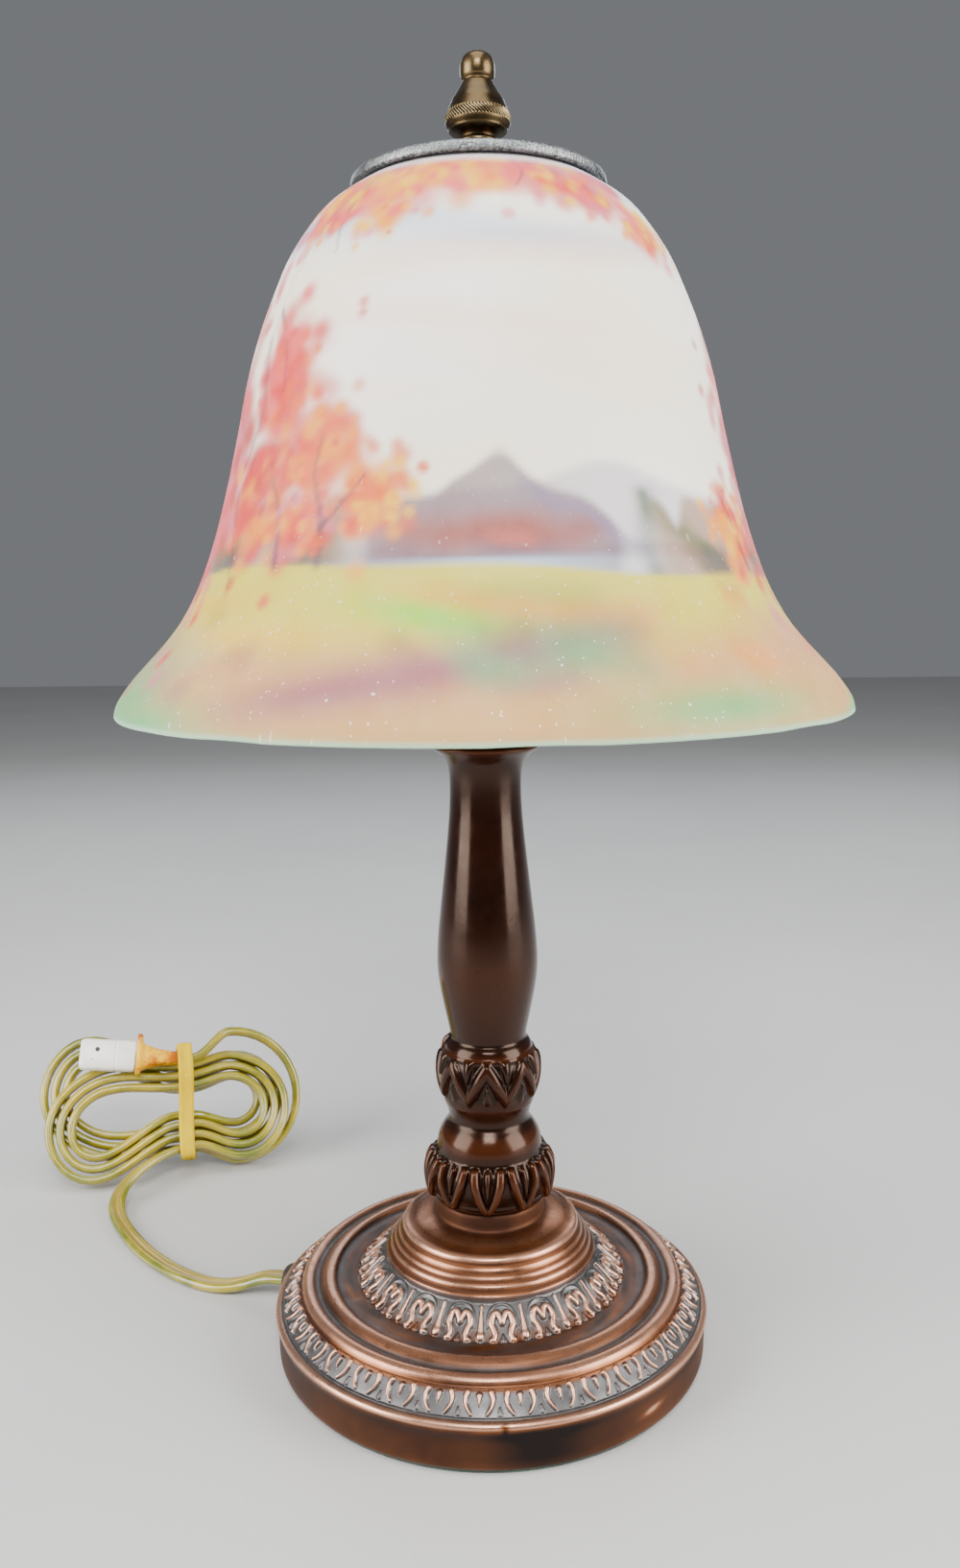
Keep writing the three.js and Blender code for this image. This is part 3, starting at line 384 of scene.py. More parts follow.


# worn is a light colour for rubbed ridges that also stands in for their highlights, a painted highlight;
# grime is a near black for hollows that also stands in for the shade in them, a painted shade
looks = {
    "copper": {
        "dark": (0.085, 0.028, 0.011), "light": (0.235, 0.078, 0.024), "wornAndHighlight": (0.72, 0.39, 0.265),
        "grimeAndShade": (0.016, 0.011, 0.01), "speck": (0.05, 0.022, 0.014), "patina": (0.09, 0.09, 0.094),
        "patinaPale": (0.185, 0.176, 0.174), "rough": (0.23, 0.38), "cloudScale": 26.0, "speckScale": 200.0,
        "speckSize": 0.055, "plain": {"Metallic": 0.85, "Specular_IOR_Level": 0.5}},
    "lacquer": {
        "dark": (0.006, 0.0012, 0.0003), "light": (0.016, 0.0032, 0.0007), "wornAndHighlight": (0.115, 0.03, 0.008),
        "grimeAndShade": (0.0012, 0.0006, 0.0005), "speck": (0.005, 0.002, 0.001), "rough": (0.14, 0.23),
        "cloudScale": 30.0, "grain": 0.1, "grooveRough": 0.26,
        "plain": {"Specular_IOR_Level": 0.34, "Specular_Tint": (1.0, 0.7, 0.56, 1)}},
    "brass": {
        "dark": (0.42, 0.28, 0.1), "light": (0.66, 0.47, 0.19), "speck": (0.24, 0.15, 0.06),
        "rough": (0.2, 0.38), "grain": 0.12, "plain": {"Metallic": 1.0}},
    "agedBrass": {
        "dark": (0.056, 0.035, 0.016), "light": (0.12, 0.08, 0.037), "wornAndHighlight": (0.34, 0.26, 0.14),
        "grimeAndShade": (0.014, 0.009, 0.006), "speck": (0.06, 0.036, 0.02), "rough": (0.24, 0.38), "grain": 0.15,
        "plain": {"Metallic": 1.0}},
    "pewter": {
        "dark": (0.036, 0.04, 0.04), "light": (0.17, 0.18, 0.18), "wornAndHighlight": (0.34, 0.36, 0.37),
        "grimeAndShade": (0.01, 0.01, 0.011), "speck": (0.5, 0.5, 0.48), "rough": (0.22, 0.5),
        "cloudScale": 1000.0, "cloudLow": 0.4, "cloudHigh": 0.6, "speckScale": 1300.0, "speckSize": 0.22,
        "grain": 0.7, "grainScale": 1300.0, "broad": 0.03, "depth": 0.0005, "plain": {"Metallic": 0.95}},
    "steel": {
        "dark": (0.38, 0.38, 0.38), "light": (0.62, 0.62, 0.6), "speck": (0.28, 0.28, 0.28),
        "rough": (0.26, 0.45), "grain": 0.15, "plain": {"Metallic": 1.0}},
    "iron": {
        "dark": (0.03, 0.03, 0.032), "light": (0.075, 0.072, 0.07), "speck": (0.13, 0.06, 0.03),
        "rough": (0.6, 0.9), "grain": 0.7, "depth": 0.0006, "plain": {"Metallic": 0.6}},
    "felt": {
        "dark": (0.012, 0.03, 0.018), "light": (0.03, 0.065, 0.038), "speck": (0.1, 0.12, 0.09),
        "rough": (0.9, 1.0), "grain": 0.8, "grainScale": 1500.0, "depth": 0.0006,
        "plain": {"Sheen_Weight": 0.4}},
    "card": {
        "dark": (0.36, 0.25, 0.13), "light": (0.54, 0.41, 0.24), "speck": (0.25, 0.17, 0.09),
        "rough": (0.75, 0.95), "grain": 0.4},
    "phenolic": {
        "dark": (0.012, 0.009, 0.008), "light": (0.03, 0.022, 0.018), "speck": (0.06, 0.045, 0.035),
        "rough": (0.32, 0.5)},
    "bulbGlass": {
        "dark": (0.82, 0.81, 0.77), "light": (0.92, 0.91, 0.88), "speck": (0.98, 0.98, 0.96),
        "rough": (0.3, 0.42), "grain": 0.08, "plain": {"Transmission_Weight": 0.25, "IOR": 1.46}},
    "clearRubber": {
        "dark": (0.58, 0.55, 0.46), "light": (0.72, 0.7, 0.62), "speck": (0.45, 0.42, 0.35),
        "rough": (0.5, 0.7), "plain": {"Transmission_Weight": 0.2}},
    "amber": {
        "dark": (0.5, 0.12, 0.0), "light": (1.0, 0.54, 0.0), "speck": (1.0, 0.66, 0.03),
        "rough": (0.14, 0.26), "cloudScale": 130.0, "cloudLow": 0.42, "cloudHigh": 0.56, "grain": 0.08,
        "plain": {"Transmission_Weight": 0.1, "Subsurface_Weight": 0.15, "Subsurface_Scale": 0.003,
                  "Specular_IOR_Level": 0.3}},
    "whitePlastic": {
        "dark": (0.88, 0.83, 0.75), "light": (0.98, 0.95, 0.89), "speck": (0.4, 0.34, 0.3),
        "rough": (0.22, 0.36), "grain": 0.1,
        "plain": {"Subsurface_Weight": 0.15, "Subsurface_Scale": 0.002}},
    "goldPlastic": {
        "dark": (0.13, 0.16, 0.004), "light": (0.46, 0.36, 0.01), "speck": (0.5, 0.24, 0.1),
        "rough": (0.2, 0.42), "cloudScale": 38.0, "grain": 0.1},
    "yellowBand": {
        "dark": (0.56, 0.37, 0.0), "light": (0.76, 0.53, 0.0), "speck": (0.9, 0.7, 0.03),
        "rough": (0.5, 0.65), "grain": 0.3, "plain": {"Specular_IOR_Level": 0.08}},
}
materials = {name: plainFinish(name, look) for name, look in looks.items()}


def makeCordPlastic():
    # gold plastic over two strands, which show as copper streaks along each lobe's middle: the cosine of two
    # turns across the cord marks the lobes, and long noise makes the streaks
    made, tree, into = newMaterial("cord", IOR=1.5, Transmission_Weight=0.15, Coat_Weight=0.8,
                                   Coat_Roughness=0.1, Subsurface_Weight=0.15, Subsurface_Scale=0.001)
    flat = addNode(tree, "UVMap").outputs["UV"]
    across = addNode(tree, "SeparateXYZ", Vector=flat).outputs["X"]
    drawn = addNode(tree, "Mapping", Vector=flat, Scale=(46.0, 26.0, 1.0)).outputs["Vector"]
    streaks = noise(tree, drawn, 1.0, 3.0, 0.6)
    clouds = useGroup(tree, "mottle", Scale=38.0, Low=0.4, High=0.6)
    skin = blend(tree, clouds, looks["goldPlastic"]["dark"], looks["goldPlastic"]["light"])
    turns = operate(tree, "MULTIPLY", across, 2 * full)
    lobe = addNode(tree, "Math", {"operation": "COSINE"}, i0=turns).outputs[0]
    inside = blend(tree, spread(tree, streaks, 0.45, 0.62), (0.36, 0.27, 0.03), (0.5, 0.24, 0.1))
    share = operate(tree, "MULTIPLY", spread(tree, lobe, 0.2, -0.9), 0.75)
    colour = blend(tree, share, skin, inside)
    colour = blend(tree, spread(tree, streaks, 0.57, 0.68), colour, (0.86, 0.74, 0.16))
    tree.links.new(colour, into["Base Color"])
    tree.links.new(levels(tree, streaks, 0.2, 0.42), into["Roughness"])
    ridge = addNode(tree, "Bump", Strength=0.25, Distance=0.0002, Height=streaks)
    tree.links.new(ridge.outputs["Normal"], into["Normal"])
    return made


def makePaintedGlass():
    # the painting is an attribute; fine brush clouds lie over it, and low down small white specks and
    # scratches, the high places of a long drawn noise
    made, tree, into = newMaterial("paintedGlass", IOR=1.5, Transmission_Weight=0.04, Sheen_Weight=0.18,
                                   Sheen_Roughness=0.35, Sheen_Tint=(0.78, 0.9, 1.0, 1),
                                   Specular_IOR_Level=0.28, Subsurface_Weight=0.05, Subsurface_Scale=0.002)
    brush = useGroup(tree, "mottle", Scale=95.0, Detail=5.0, Low=0.3, High=0.7)
    paint = attribute(tree, "paint", "Color")
    colour = blend(tree, levels(tree, brush, 0.0, 0.06), paint, (0.95, 0.93, 0.88))
    where = addNode(tree, "TexCoord").outputs["Object"]
    height = addNode(tree, "SeparateXYZ", Vector=where).outputs["Z"]
    specks = useGroup(tree, "specks", Scale=420.0, Size=0.1, Share=0.52)
    lean = addNode(tree, "Mapping", Vector=where, Rotation=(0.5, 0.9, 0.3), Scale=(900.0, 900.0, 40.0))
    scratch = spread(tree, noise(tree, lean.outputs["Vector"], 1.0, 1.0), 0.73, 0.78)
    marks = operate(tree, "MAXIMUM", specks, scratch)
    marks = operate(tree, "MULTIPLY", marks, spread(tree, height, 0.262, 0.215))
    marks = operate(tree, "MULTIPLY", marks, 0.55)
    tree.links.new(blend(tree, marks, colour, (0.97, 0.96, 0.92)), into["Base Color"])
    fine = useGroup(tree, "mottle", Scale=300.0, Low=0.3, High=0.7)
    tree.links.new(levels(tree, fine, 0.5, 0.64), into["Roughness"])
    grain = useGroup(tree, "grain", Scale=1400.0, Strength=0.1, Broad=0.2, Depth=0.0001)
    tree.links.new(grain, into["Normal"])
    return made


materials["cord"] = makeCordPlastic()
materials["paintedGlass"] = makePaintedGlass()
slotOf = {name: "".join("_" + c.lower() if c.isupper() else c for c in name) for name in materials}
print("materials made:", len(materials))


# Camera, light and floor

view = {"distance": 358.7, "height": 225.7, "pitchDegrees": 8.51, "rollDegrees": -0.65, "focalPixels": 1306.0,
        "imageWidth": 1000, "imageHeight": 1634, "centrePixel": (505.6, 817.0), "sensor": 36.0,
        "nearest": 0.01}


def makeCamera():
    lens = bpy.data.cameras.new("camera")
    lens.sensor_width = view["sensor"]
    lens.sensor_fit = "AUTO"
    lens.lens = view["focalPixels"] * view["sensor"] / view["imageHeight"]
    lens.shift_x = (view["imageWidth"] / 2 - view["centrePixel"][0]) / view["imageHeight"]
    lens.clip_start = view["nearest"]
    made = bpy.data.objects.new("camera", lens)
    tilt = Matrix.Rotation(np.radians(90 - view["pitchDegrees"]), 4, "X")
    roll = Matrix.Rotation(np.radians(view["rollDegrees"]), 4, "Z")
    stand = Matrix.Translation((0, -view["distance"] * mm, view["height"] * mm))
    made.matrix_world = stand @ tilt @ roll
    scene.collection.objects.link(made)
    scene.camera = made


sky = {"Color": (0.8, 0.83, 0.88, 1), "Strength": 0.22}
lights = {  # place and target in metres, size across and up, power in watts, colour
    "softboxLeft": ((-1.0, -0.42, 0.5), (0, 0, 0.16), (0.75, 0.9), 24.0, (1.0, 0.98, 0.95)),
    "softboxRight": ((1.0, -0.42, 0.5), (0, 0, 0.16), (0.75, 0.9), 24.0, (1.0, 0.98, 0.95)),
    "overhead": ((0.0, -0.25, 1.25), (0, 0, 0), (0.8, 0.8), 8.5, (0.97, 0.985, 1.0)),
    "frontTop": ((0.0, -0.85, 0.95), (0, 0, 0.1), (0.45, 0.3), 10.5, (1.0, 0.985, 0.96)),
    "rearStrip": ((0.0, 1.1, 0.75), (0, 0, 0.2), (1.4, 0.3), 5.0, (0.85, 0.92, 1.0)),
}


def makeLights():
    for name, (at, target, size, power, colour) in lights.items():
        lamp = bpy.data.lights.new(name, "AREA")
        lamp.shape = "RECTANGLE"
        lamp.size, lamp.size_y = size
        lamp.energy = power
        lamp.color = colour
        made = bpy.data.objects.new(name, lamp)
        away = np.array(at) - np.array(target)
        z = away / np.linalg.norm(away)
        x = np.cross((0, 0, 1), z)
        x = x / np.linalg.norm(x) if np.linalg.norm(x) > 0.1 else np.array((1.0, 0, 0))
        turn = np.eye(4)
        turn[:3, :3] = np.stack([x, np.cross(z, x), z], axis=1)
        turn[:3, 3] = at
        made.matrix_world = Matrix(turn.tolist())
        scene.collection.objects.link(made)
    world = bpy.data.worlds.new("studio")
    world.use_nodes = True
    for key, value in sky.items():
        world.node_tree.nodes["Background"].inputs[key].default_value = value
    scene.world = world


floor = {"dark": (0.52, 0.52, 0.52), "light": (0.56, 0.56, 0.555), "speck": (0.5, 0.5, 0.5),
         "rough": (0.55, 0.7), "cloudScale": 3.0, "grain": 0.05, "reach": 3000.0}


def makeFloor():
    ends = (-floor["reach"], floor["reach"])
    points = np.array([[[x, y, 0.0] for x in ends] for y in ends])
    piece = toMesh("floor", points, flat=True, crease=0)
    piece.data.materials.append(plainFinish("floorPaint", floor))


makeCamera()
makeLights()
makeFloor()
print("camera, lights and floor made")


# Cord: its free stretch and its hank are one tube

cord = {"width": 6.2, "thickness": 3.1, "web": 1.0, "sides": 28, "exitTurn": 163.0, "exitRadius": 69.7,
        "exitHeight": 7.4, "exitDrop": 13.64, "lying": 1.85, "stepsPerTurn": 96, "stepsOfRun": 110,
        "rubs": 80}
hank = {"place": (-122.0, 122.0), "yaw": 15.0, "lean": 30.0, "clearance": 1.2, "layers": 0.7,
        "leftReach": 44.0, "rightReach": 28.0, "lobeLeft": 11.5, "lobeRight": 8.6, "waist": 4.5,
        "waistFlat": 3.0, "dropLeft": 7.0, "dropRight": 4.0, "riseLeft": 9.0, "turnsIn": 3.0, "turnsOut": 3.5,
        "climb": 0.14, "end": 0.45, "endPush": 3.3, "endSettle": 6.0, "pushShares": (1.1, 0.6),
        "backShares": (0.7, 0.25), "settleShares": (0.33, 0.067), "standGap": 0.3, "shrink": 0.975,
        "cadSteps": 24, "cadSides": 6}
hankPitch = cord["thickness"] + hank["clearance"]
hankPlane = (cord["width"] + hank["layers"]) / 2
hankEnd = hank["turnsIn"] + hank["turnsOut"]


def turnMatrix(x, y, z):
    # turned about X, then Y, then Z, in degrees
    about = [Matrix.Rotation(np.radians(a), 3, axis) for a, axis in ((z, "Z"), (y, "Y"), (x, "X"))]
    return np.array(about[0] @ about[1] @ about[2])


def halfLoop(share, reach, lobe):
    # a flank drawn in at the waist, a half circle, and the flank again; with the way that the loops pile
    flank = reach - lobe
    length = 2 * flank + np.pi * lobe
    at = share * length
    waist, level = hank["waist"], hank["waistFlat"]
    drawn = lambda x: waist + (lobe - waist) * ease((x - level) / (flank - level))
    turn = (at - flank) / lobe
    out, up = np.sin(turn), -np.cos(turn)
    first, last = at < flank, length - at < flank
    pick = lambda a, b, c: np.where(first, a, np.where(last, b, c))
    x = pick(at, length - at, flank + lobe * out)
    y = pick(-drawn(at), drawn(length - at), lobe * up)
    return np.stack([x, y, pick(0, 0, out), pick(-1, 1, up)])


def hankLine(turn):
    # the innermost loop pushed out at a steady rate, inwards in the front layer and outwards in the back one,
    # bent, and at its end brought forward over both layers
    share = turn % 1
    x, y, outX, outY = np.where(share < 0.5, halfLoop(2 * share, hank["rightReach"], hank["lobeRight"]),
                                -halfLoop(2 * share - 1, hank["leftReach"], hank["lobeLeft"]))
    nearEnd = lambda shares: step(turn, hankEnd - shares[0] * hank["end"], hankEnd - shares[1] * hank["end"])
    push = hankPitch * np.abs(turn - hank["turnsIn"]) + hank["endPush"] * nearEnd(hank["pushShares"])
    along, across = x + push * outX, y + push * outY
    climb = step(turn, hank["turnsIn"] - hank["climb"] / 2, hank["turnsIn"] + hank["climb"] / 2)
    leftBend = ease((-along - hank["waistFlat"]) / hank["leftReach"])
    rightBend = ease((along - hank["waistFlat"]) / hank["rightReach"])
    bend = (leftBend * mix(-hank["dropLeft"], hank["riseLeft"], climb)
            - rightBend * hank["dropRight"] * (1 - climb))
    settled = across + bend - hank["endSettle"] * nearEnd(hank["settleShares"])
    return np.stack([along, settled, hankPlane * (1 - 2 * climb + 4 * nearEnd(hank["backShares"]))], axis=1)


def cordSection():
    # two round lobes side by side, joined by a web
    angle = circle(cord["sides"])
    x = cord["width"] / 2 * np.cos(angle)
    lobe = cord["thickness"] / 2
    high = lobe * np.sqrt(np.clip(1 - ((np.abs(x) - lobe) / lobe) ** 2, 0, 1))
    high = np.where(np.abs(x) < lobe, np.maximum(high, cord["web"]), high)
    return np.stack([x, np.sign(np.round(np.sin(angle), 9)) * high], axis=1)


hankTurn = turnMatrix(90 - hank["lean"], 0, hank["yaw"])
outOfLoops = np.array([0.0, 0.0, 1.0])
plainLine = hankLine(np.linspace(0, hankEnd, round(hankEnd * hank["cadSteps"]) + 1))
plainRings = tubeRings(plainLine, np.tile(outOfLoops, (len(plainLine), 1)),
                       fullOval(cord["width"], cord["thickness"], hank["cadSides"]))
hankAt = np.array([*hank["place"], hank["standGap"] - (plainRings @ hankTurn.T)[..., 2].min()])


def fromHank(points):
    # drawn in a little, so that the smooth loops stay inside the box of the model's angular ones
    return np.asarray(points, float) * hank["shrink"] @ hankTurn.T + hankAt


def atExit(r, z):
    turn = np.radians(cord["exitTurn"])
    return [r * np.cos(turn), r * np.sin(turn), z]


# the free stretch: places on the table, then places in the hank's own frame
cordLying = [(-89.5, 25.5), (-99.5, 30), (-109.5, 37.5), (-119.5, 47.5), (-128, 58.5), (-135.5, 70.5),
             (-141, 83)]
cordOnHank = [(-28.5, -32, 13.2), (-24, -28, 12.4), (-19.5, -24.6, 11.2), (-15.5, -22.2, 9.4),
              (-12, -20.4, 6.6), (-9, -18.9, 4.4), (-6.2, -17.9, 3.6), (-3, -17.5, 3.45)]


def makeCord():
    # the run is a curve through its points, each then rubbed towards its neighbours' middle again and again;
    # the hank's line follows its formula, and the cord's flat side turns from lying to the hank's direction
    start, high = cord["exitRadius"], cord["exitHeight"]
    route = [atExit(start, high), atExit(start + cord["width"], high),
             atExit(start + cord["exitDrop"], high / 2), *[(x, y, cord["lying"]) for x, y in cordLying],
             *fromHank(cordOnHank), *fromHank(hankLine(np.array([0.0])))]
    run = curveThrough(route, cord["stepsOfRun"])
    along = np.linspace(0, 1, len(run))
    rub = mix(0.1, 0.5, step(along, 0.4, 0.55))[1:-1, None]
    for _ in range(cord["rubs"]):
        run[1:-1] = mix(run[1:-1], (run[:-2] + run[2:]) / 2, rub)
    wound = fromHank(hankLine(np.linspace(0, hankEnd, round(hankEnd * cord["stepsPerTurn"]) + 1)))
    line = np.concatenate([run[:-1], wound])
    hankBroad = outOfLoops @ hankTurn.T
    flat = unit(np.cross(np.gradient(run, axis=0), (0, 0, 1)))
    share = ease((along - 0.6) / 0.4)[:, None]
    broad = np.concatenate([mix(flat, hankBroad, share)[:-1], np.tile(hankBroad, (len(wound), 1))])
    section = cordSection()
    across, at = np.arange(len(section)) / len(section), distances(line) * mm
    uv = np.stack(np.broadcast_arrays(across, at[:, None]), axis=-1)
    piece = toMesh("cord", tubeRings(line, broad, section), capEnds=True, crease=60, uv=uv)
    return place(piece, "cord", "root", "cord_run", "cord_hank"), line


cordPiece, cordPath = makeCord()


# Band and plug

band = {"width": 6.0, "wall": 1.6, "slack": 1.0, "grow": 0.8, "ribs": 3, "ribDepth": 0.18, "sides": 40,
        "steps": 160, "narrowing": 0.1, "skew": 0.5, "fullness": 0.45}
plug = {"tilt": 8.0, "out": 3.0, "back": 0.6, "length": 18.0, "halfHeight": 8.0, "halfDepth": 4.4, "gap": 0.3,
        "coverLength": 21.0, "coverHigh": 6.0, "coverDeep": 3.7, "coverWall": 1.1, "bladeLength": 16.0,
        "bladeHeight": 3.15, "bladeThickness": 1.5, "bladeSpacing": 4.0, "dot": 0.9, "dotAt": (14.5, 1.6),
        "dotRise": 0.02, "dotRoot": 0.3, "sides": 40}
plugStart = hankLine(np.array([hankEnd]))[0]


def makeBand():
    # a flat strip with long ribs carried round a softened outline of what it ties
    wide, thick, slack = cord["width"], cord["thickness"], band["slack"]
    high = hank["waist"] + hankPitch * (hank["turnsIn"] - 0.5) + thick / 2 + slack
    low = -hank["waist"] - hankPitch * hank["turnsIn"] - thick / 2 - slack
    deep = hankPlane + wide / 2 + slack
    front = 3 * hankPlane + wide / 2 + slack
    corners = np.array([[low, -deep], [high, -deep], [plugStart[1] + thick + slack, front],
                        [plugStart[1] - 2 * thick, front], [low, deep]])
    middle = corners.mean(0)
    corners = corners + unit(corners - middle) * band["grow"] * band["wall"]
    sides = zip(corners, np.roll(corners, -1, 0))
    dense = np.concatenate([np.linspace(a, b, 4, endpoint=False) for a, b in sides])
    loop = softened(dense, 3, closed=True)
    loop = spaced(np.concatenate([loop, loop[:1]]), band["steps"] + 1)[:-1]
    along = unit(np.roll(loop, -1, 0) - np.roll(loop, 1, 0))
    out = np.stack([along[:, 1], -along[:, 0]], axis=1)
    out = out * np.sign(((loop - middle) * out).sum(1).mean())
    section = fullOval(band["width"], band["wall"], band["sides"], band["fullness"])
    rib = band["ribDepth"] * np.cos(section[:, 0] / band["width"] * full * band["ribs"])
    section[:, 1] += np.where(section[:, 1] > 0.5, rib, 0)
    around = circle(len(loop))[:, None]
    narrow = 1 - band["narrowing"] * (0.5 + 0.5 * np.sin(around + 0.7))
    skew = band["skew"] * np.sin(around * 2 + 1.0)
    flat = loop[:, None, :] + out[:, None, :] * section[None, :, 1:]
    local = np.stack([section[None, :, 0] * narrow + skew, flat[..., 0], flat[..., 1]], axis=-1)
    piece = toMesh("band", fromHank(local), closedRows=True, crease=50)
    return place(piece, "yellowBand", "root", "hank_band")


plugTurn = hankTurn @ turnMatrix(0, 180 + plug["out"], -plug["tilt"])
plugAt = fromHank([-plug["back"], plugStart[1], plugStart[2]])


def fromPlug(points):
    return np.asarray(points, float) @ plugTurn.T + plugAt


def loftAlong(stations, sides, fullness=0.6):
    # full ovals of each station's half height and half depth, at its place along the plug
    stations = np.asarray(stations, float)
    oval = fullOval(2, 2, sides, fullness)
    x = np.repeat(stations[:, :1], sides, axis=1)
    y = stations[:, 3:4] + stations[:, 1:2] * oval[:, 0]
    return np.stack([x, y, stations[:, 2:3] * oval[:, 1]], axis=-1)


# body: place along the plug, half height, half depth and lift, as shares
plugShares = [
    (0, 0.2, 0.6, 0), (0.02, 0.27, 0.76, 0), (0.06, 0.3, 0.82, 0), (0.35, 0.34, 0.83, 0),
    (0.55, 0.41, 0.83, 0), (0.72, 0.52, 0.83, 0), (0.84, 0.64, 0.83, 0), (0.872, 0.7, 0.84, 0.02),
    (0.885, 0.92, 0.95, 0.11), (0.9, 0.985, 0.99, 0.12), (0.94, 1, 1, 0.12), (0.985, 0.985, 0.99, 0.12),
    (1, 0.93, 0.95, 0.12),
]
# cover: millimetres from its start, or back from its end, then shares of its half height and half depth
coverNear = [(0, 0.96, 0.95), (0.5, 1, 1), (7, 1, 1), (7.2, 0.975, 0.96), (7.8, 0.975, 0.96), (8, 1, 1)]
coverFar = [(2.2, 1, 1), (0.7, 0.95, 0.94), (0.1, 0.86, 0.84), (0, 0.7, 0.66)]


def makePlug():
    # amber body with a slim tail and a thin finger flange, a hollow cover with a dot, two blades inside it
    stations = [(a * plug["length"], b * plug["halfHeight"], c * plug["halfDepth"], d * plug["halfHeight"])
                for a, b, c, d in plugShares]
    rings = loftAlong(softened(stations, 2), plug["sides"])
    body = toMesh("plugBody", fromPlug(rings), capEnds=True, crease=35)
    place(body, "amber", "root", "plug_body")
    start = plug["length"] + plug["gap"]
    end = start + plug["coverLength"]
    high, deep, wall = plug["coverHigh"], plug["coverDeep"], plug["coverWall"]
    outside = [(start + at, high * a, deep * b, 0) for at, a, b in coverNear]
    outside += [(end - at, high * a, deep * b, 0) for at, a, b in coverFar]
    inside = [(end - wall, high - 2 * wall, deep - 1.6 * wall, 0), (start + 1, high - wall, deep - wall, 0),
              (start, high - wall, deep - wall, 0)]
    ends = [(end, 0, 0, 0), (end - wall, 0, 0, 0)]
    shell = loftAlong([*outside, *ends, *inside], plug["sides"], 0.5)
    cover = toMesh("plugCover", fromPlug(shell), closedRows=True, crease=35)
    place(cover, "whitePlastic", "root", "plug_cover")
    angle = circle(24)
    front, sunk = -deep - plug["dotRise"], -deep + plug["dotRoot"]
    dotX, dotY = plug["dotAt"]
    disc = [np.stack([start + dotX + r * np.cos(angle), dotY + r * np.sin(angle), 0 * angle + z], -1)
            for r, z in ((0, front), (plug["dot"], front), (plug["dot"], sunk), (0, sunk))]
    mark = toMesh("plugCoverDot", fromPlug(np.array(disc)))
    place(mark, "phenolic", "root")
    half, thick = plug["bladeHeight"] / 2, plug["bladeThickness"] / 2
    tip = start + plug["bladeLength"]
    blades = []
    for side, name in ((1, "Upper"), (-1, "Lower")):
        y = side * plug["bladeSpacing"] / 2
        stations = [(start, thick, half, y), (start + 0.2, thick, half, y), (tip - 1.8, thick, half, y),
                    (tip - 0.6, thick * 0.8, half * 0.75, y), (tip, thick * 0.5, half * 0.4, y)]
        rings = fromPlug(loftAlong(stations, 20, 0.25))
        blade = toMesh("plugBlade" + name, rings, capEnds=True)
        blades.append(place(blade, "steel", "root", "plug_blade_" + name.lower()))
    return [body, cover, mark, *blades]


bandPiece = makeBand()
plugPieces = makePlug()
print("band and plug made")


# Base: a turned casting with two carved bands

base = {"sides": 640, "rows": 112, "recess": 0.9, "stripWall": 2.2}
baseOutline = [
    (64.2, 1.9), (64.55, 2.4), (64.6, 4.5), (64.65, 8.6), (64.7, 10.6), (64.8, 11.8), (65.1, 12.8),
    (65.4, 13.7), (65.4, 14.5), (64.9, 15.15), (64.1, 15.4), (63.55, 15.3), (63.2, 15.75), (61.9, 17.1),
    (60.2, 18.6), (58.6, 20.1), (58.0, 20.6), (57.6, 20.55), (57.35, 21.0), (57.2, 21.8), (56.4, 22.7),
    (55.3, 23.0), (54.3, 22.8), (53.7, 22.4), (53.2, 21.9), (52.7, 21.7), (52.2, 21.8), (51.7, 22.2),
    (51.1, 22.8), (50.2, 23.4), (49.2, 23.7), (48.2, 23.7), (47.4, 23.2), (46.9, 22.4), (46.0, 22.0),
    (44.0, 21.95), (42.2, 22.05), (41.2, 22.2), (40.6, 22.4), (39.8, 22.8), (37.6, 24.6), (35.4, 26.6),
    (33.4, 28.4), (32.3, 29.3), (31.9, 29.5), (31.8, 30.1), (31.6, 30.9), (30.9, 31.4), (30.4, 31.6),
    (30.5, 32.2), (30.4, 32.9), (29.8, 33.4), (29.2, 33.6), (29.2, 34.1), (29.1, 34.7), (28.5, 35.2),
    (27.9, 35.4), (27.9, 35.9), (27.8, 36.5), (27.3, 37.0), (26.6, 37.3), (26.7, 37.9), (26.5, 38.9),
    (25.7, 39.5), (24.6, 39.7), (23.6, 40.0), (22.2, 40.7), (20.4, 41.3), (18.0, 41.7), (16.7, 41.9),
    (16.3, 42.3), (16.2, 43.2), (16.2, 45.6), (16.1, 46.5), (15.7, 46.9),
]
baseInside = [(5.2, 46.9), (5.2, 39.1), (9.0, 39.6), (20.2, 35.7), (24.7, 26.5), (27.9, 20.0), (47.7, 20.0),
              (61.4, 12.0), (61.4, 1.9)]
eggBand = ((58.0, 20.6), (63.2, 15.75))  # its upper and lower edge: radius, height
archBand = ((31.9, 29.5), (40.6, 22.4))


def acrossBand(profile, edges):
    # share of the way from the band's upper edge to its lower one, by the radius
    (upper, _), (lower, _) = edges
    return (profile[:, 0] - upper) / (lower - upper)


def cell(angle, count):
    # place in one repeat of a pattern, from minus a half to a half
    return (angle / full * count) % 1 - 0.5


def stroke(x, v, line, width, widthEnd=None, squash=1.0):
    # a rounded ridge along a line of points in one repeat, as wide at each end as said
    widthEnd = width if widthEnd is None else widthEnd
    line = curveThrough(line, 5 * len(line)) if len(line) > 2 else np.array(line)
    best = np.zeros(np.broadcast(x, v).shape)
    at = distances(line)
    for i, (a, b) in enumerate(zip(line[:-1], line[1:])):
        dx, dv = b[0] - a[0], b[1] - a[1]
        share = np.clip(((x - a[0]) * dx + (v - a[1]) * dv) / (dx * dx + dv * dv), 0, 1)
        far = np.hypot(x - a[0] - share * dx, (v - a[1] - share * dv) * squash)
        across = mix(width, widthEnd, (at[i] + share * (at[i + 1] - at[i])) / at[-1])
        best = np.maximum(best, np.clip(1 - (far / across) ** 2, 0, 1) ** 0.5)
    return best


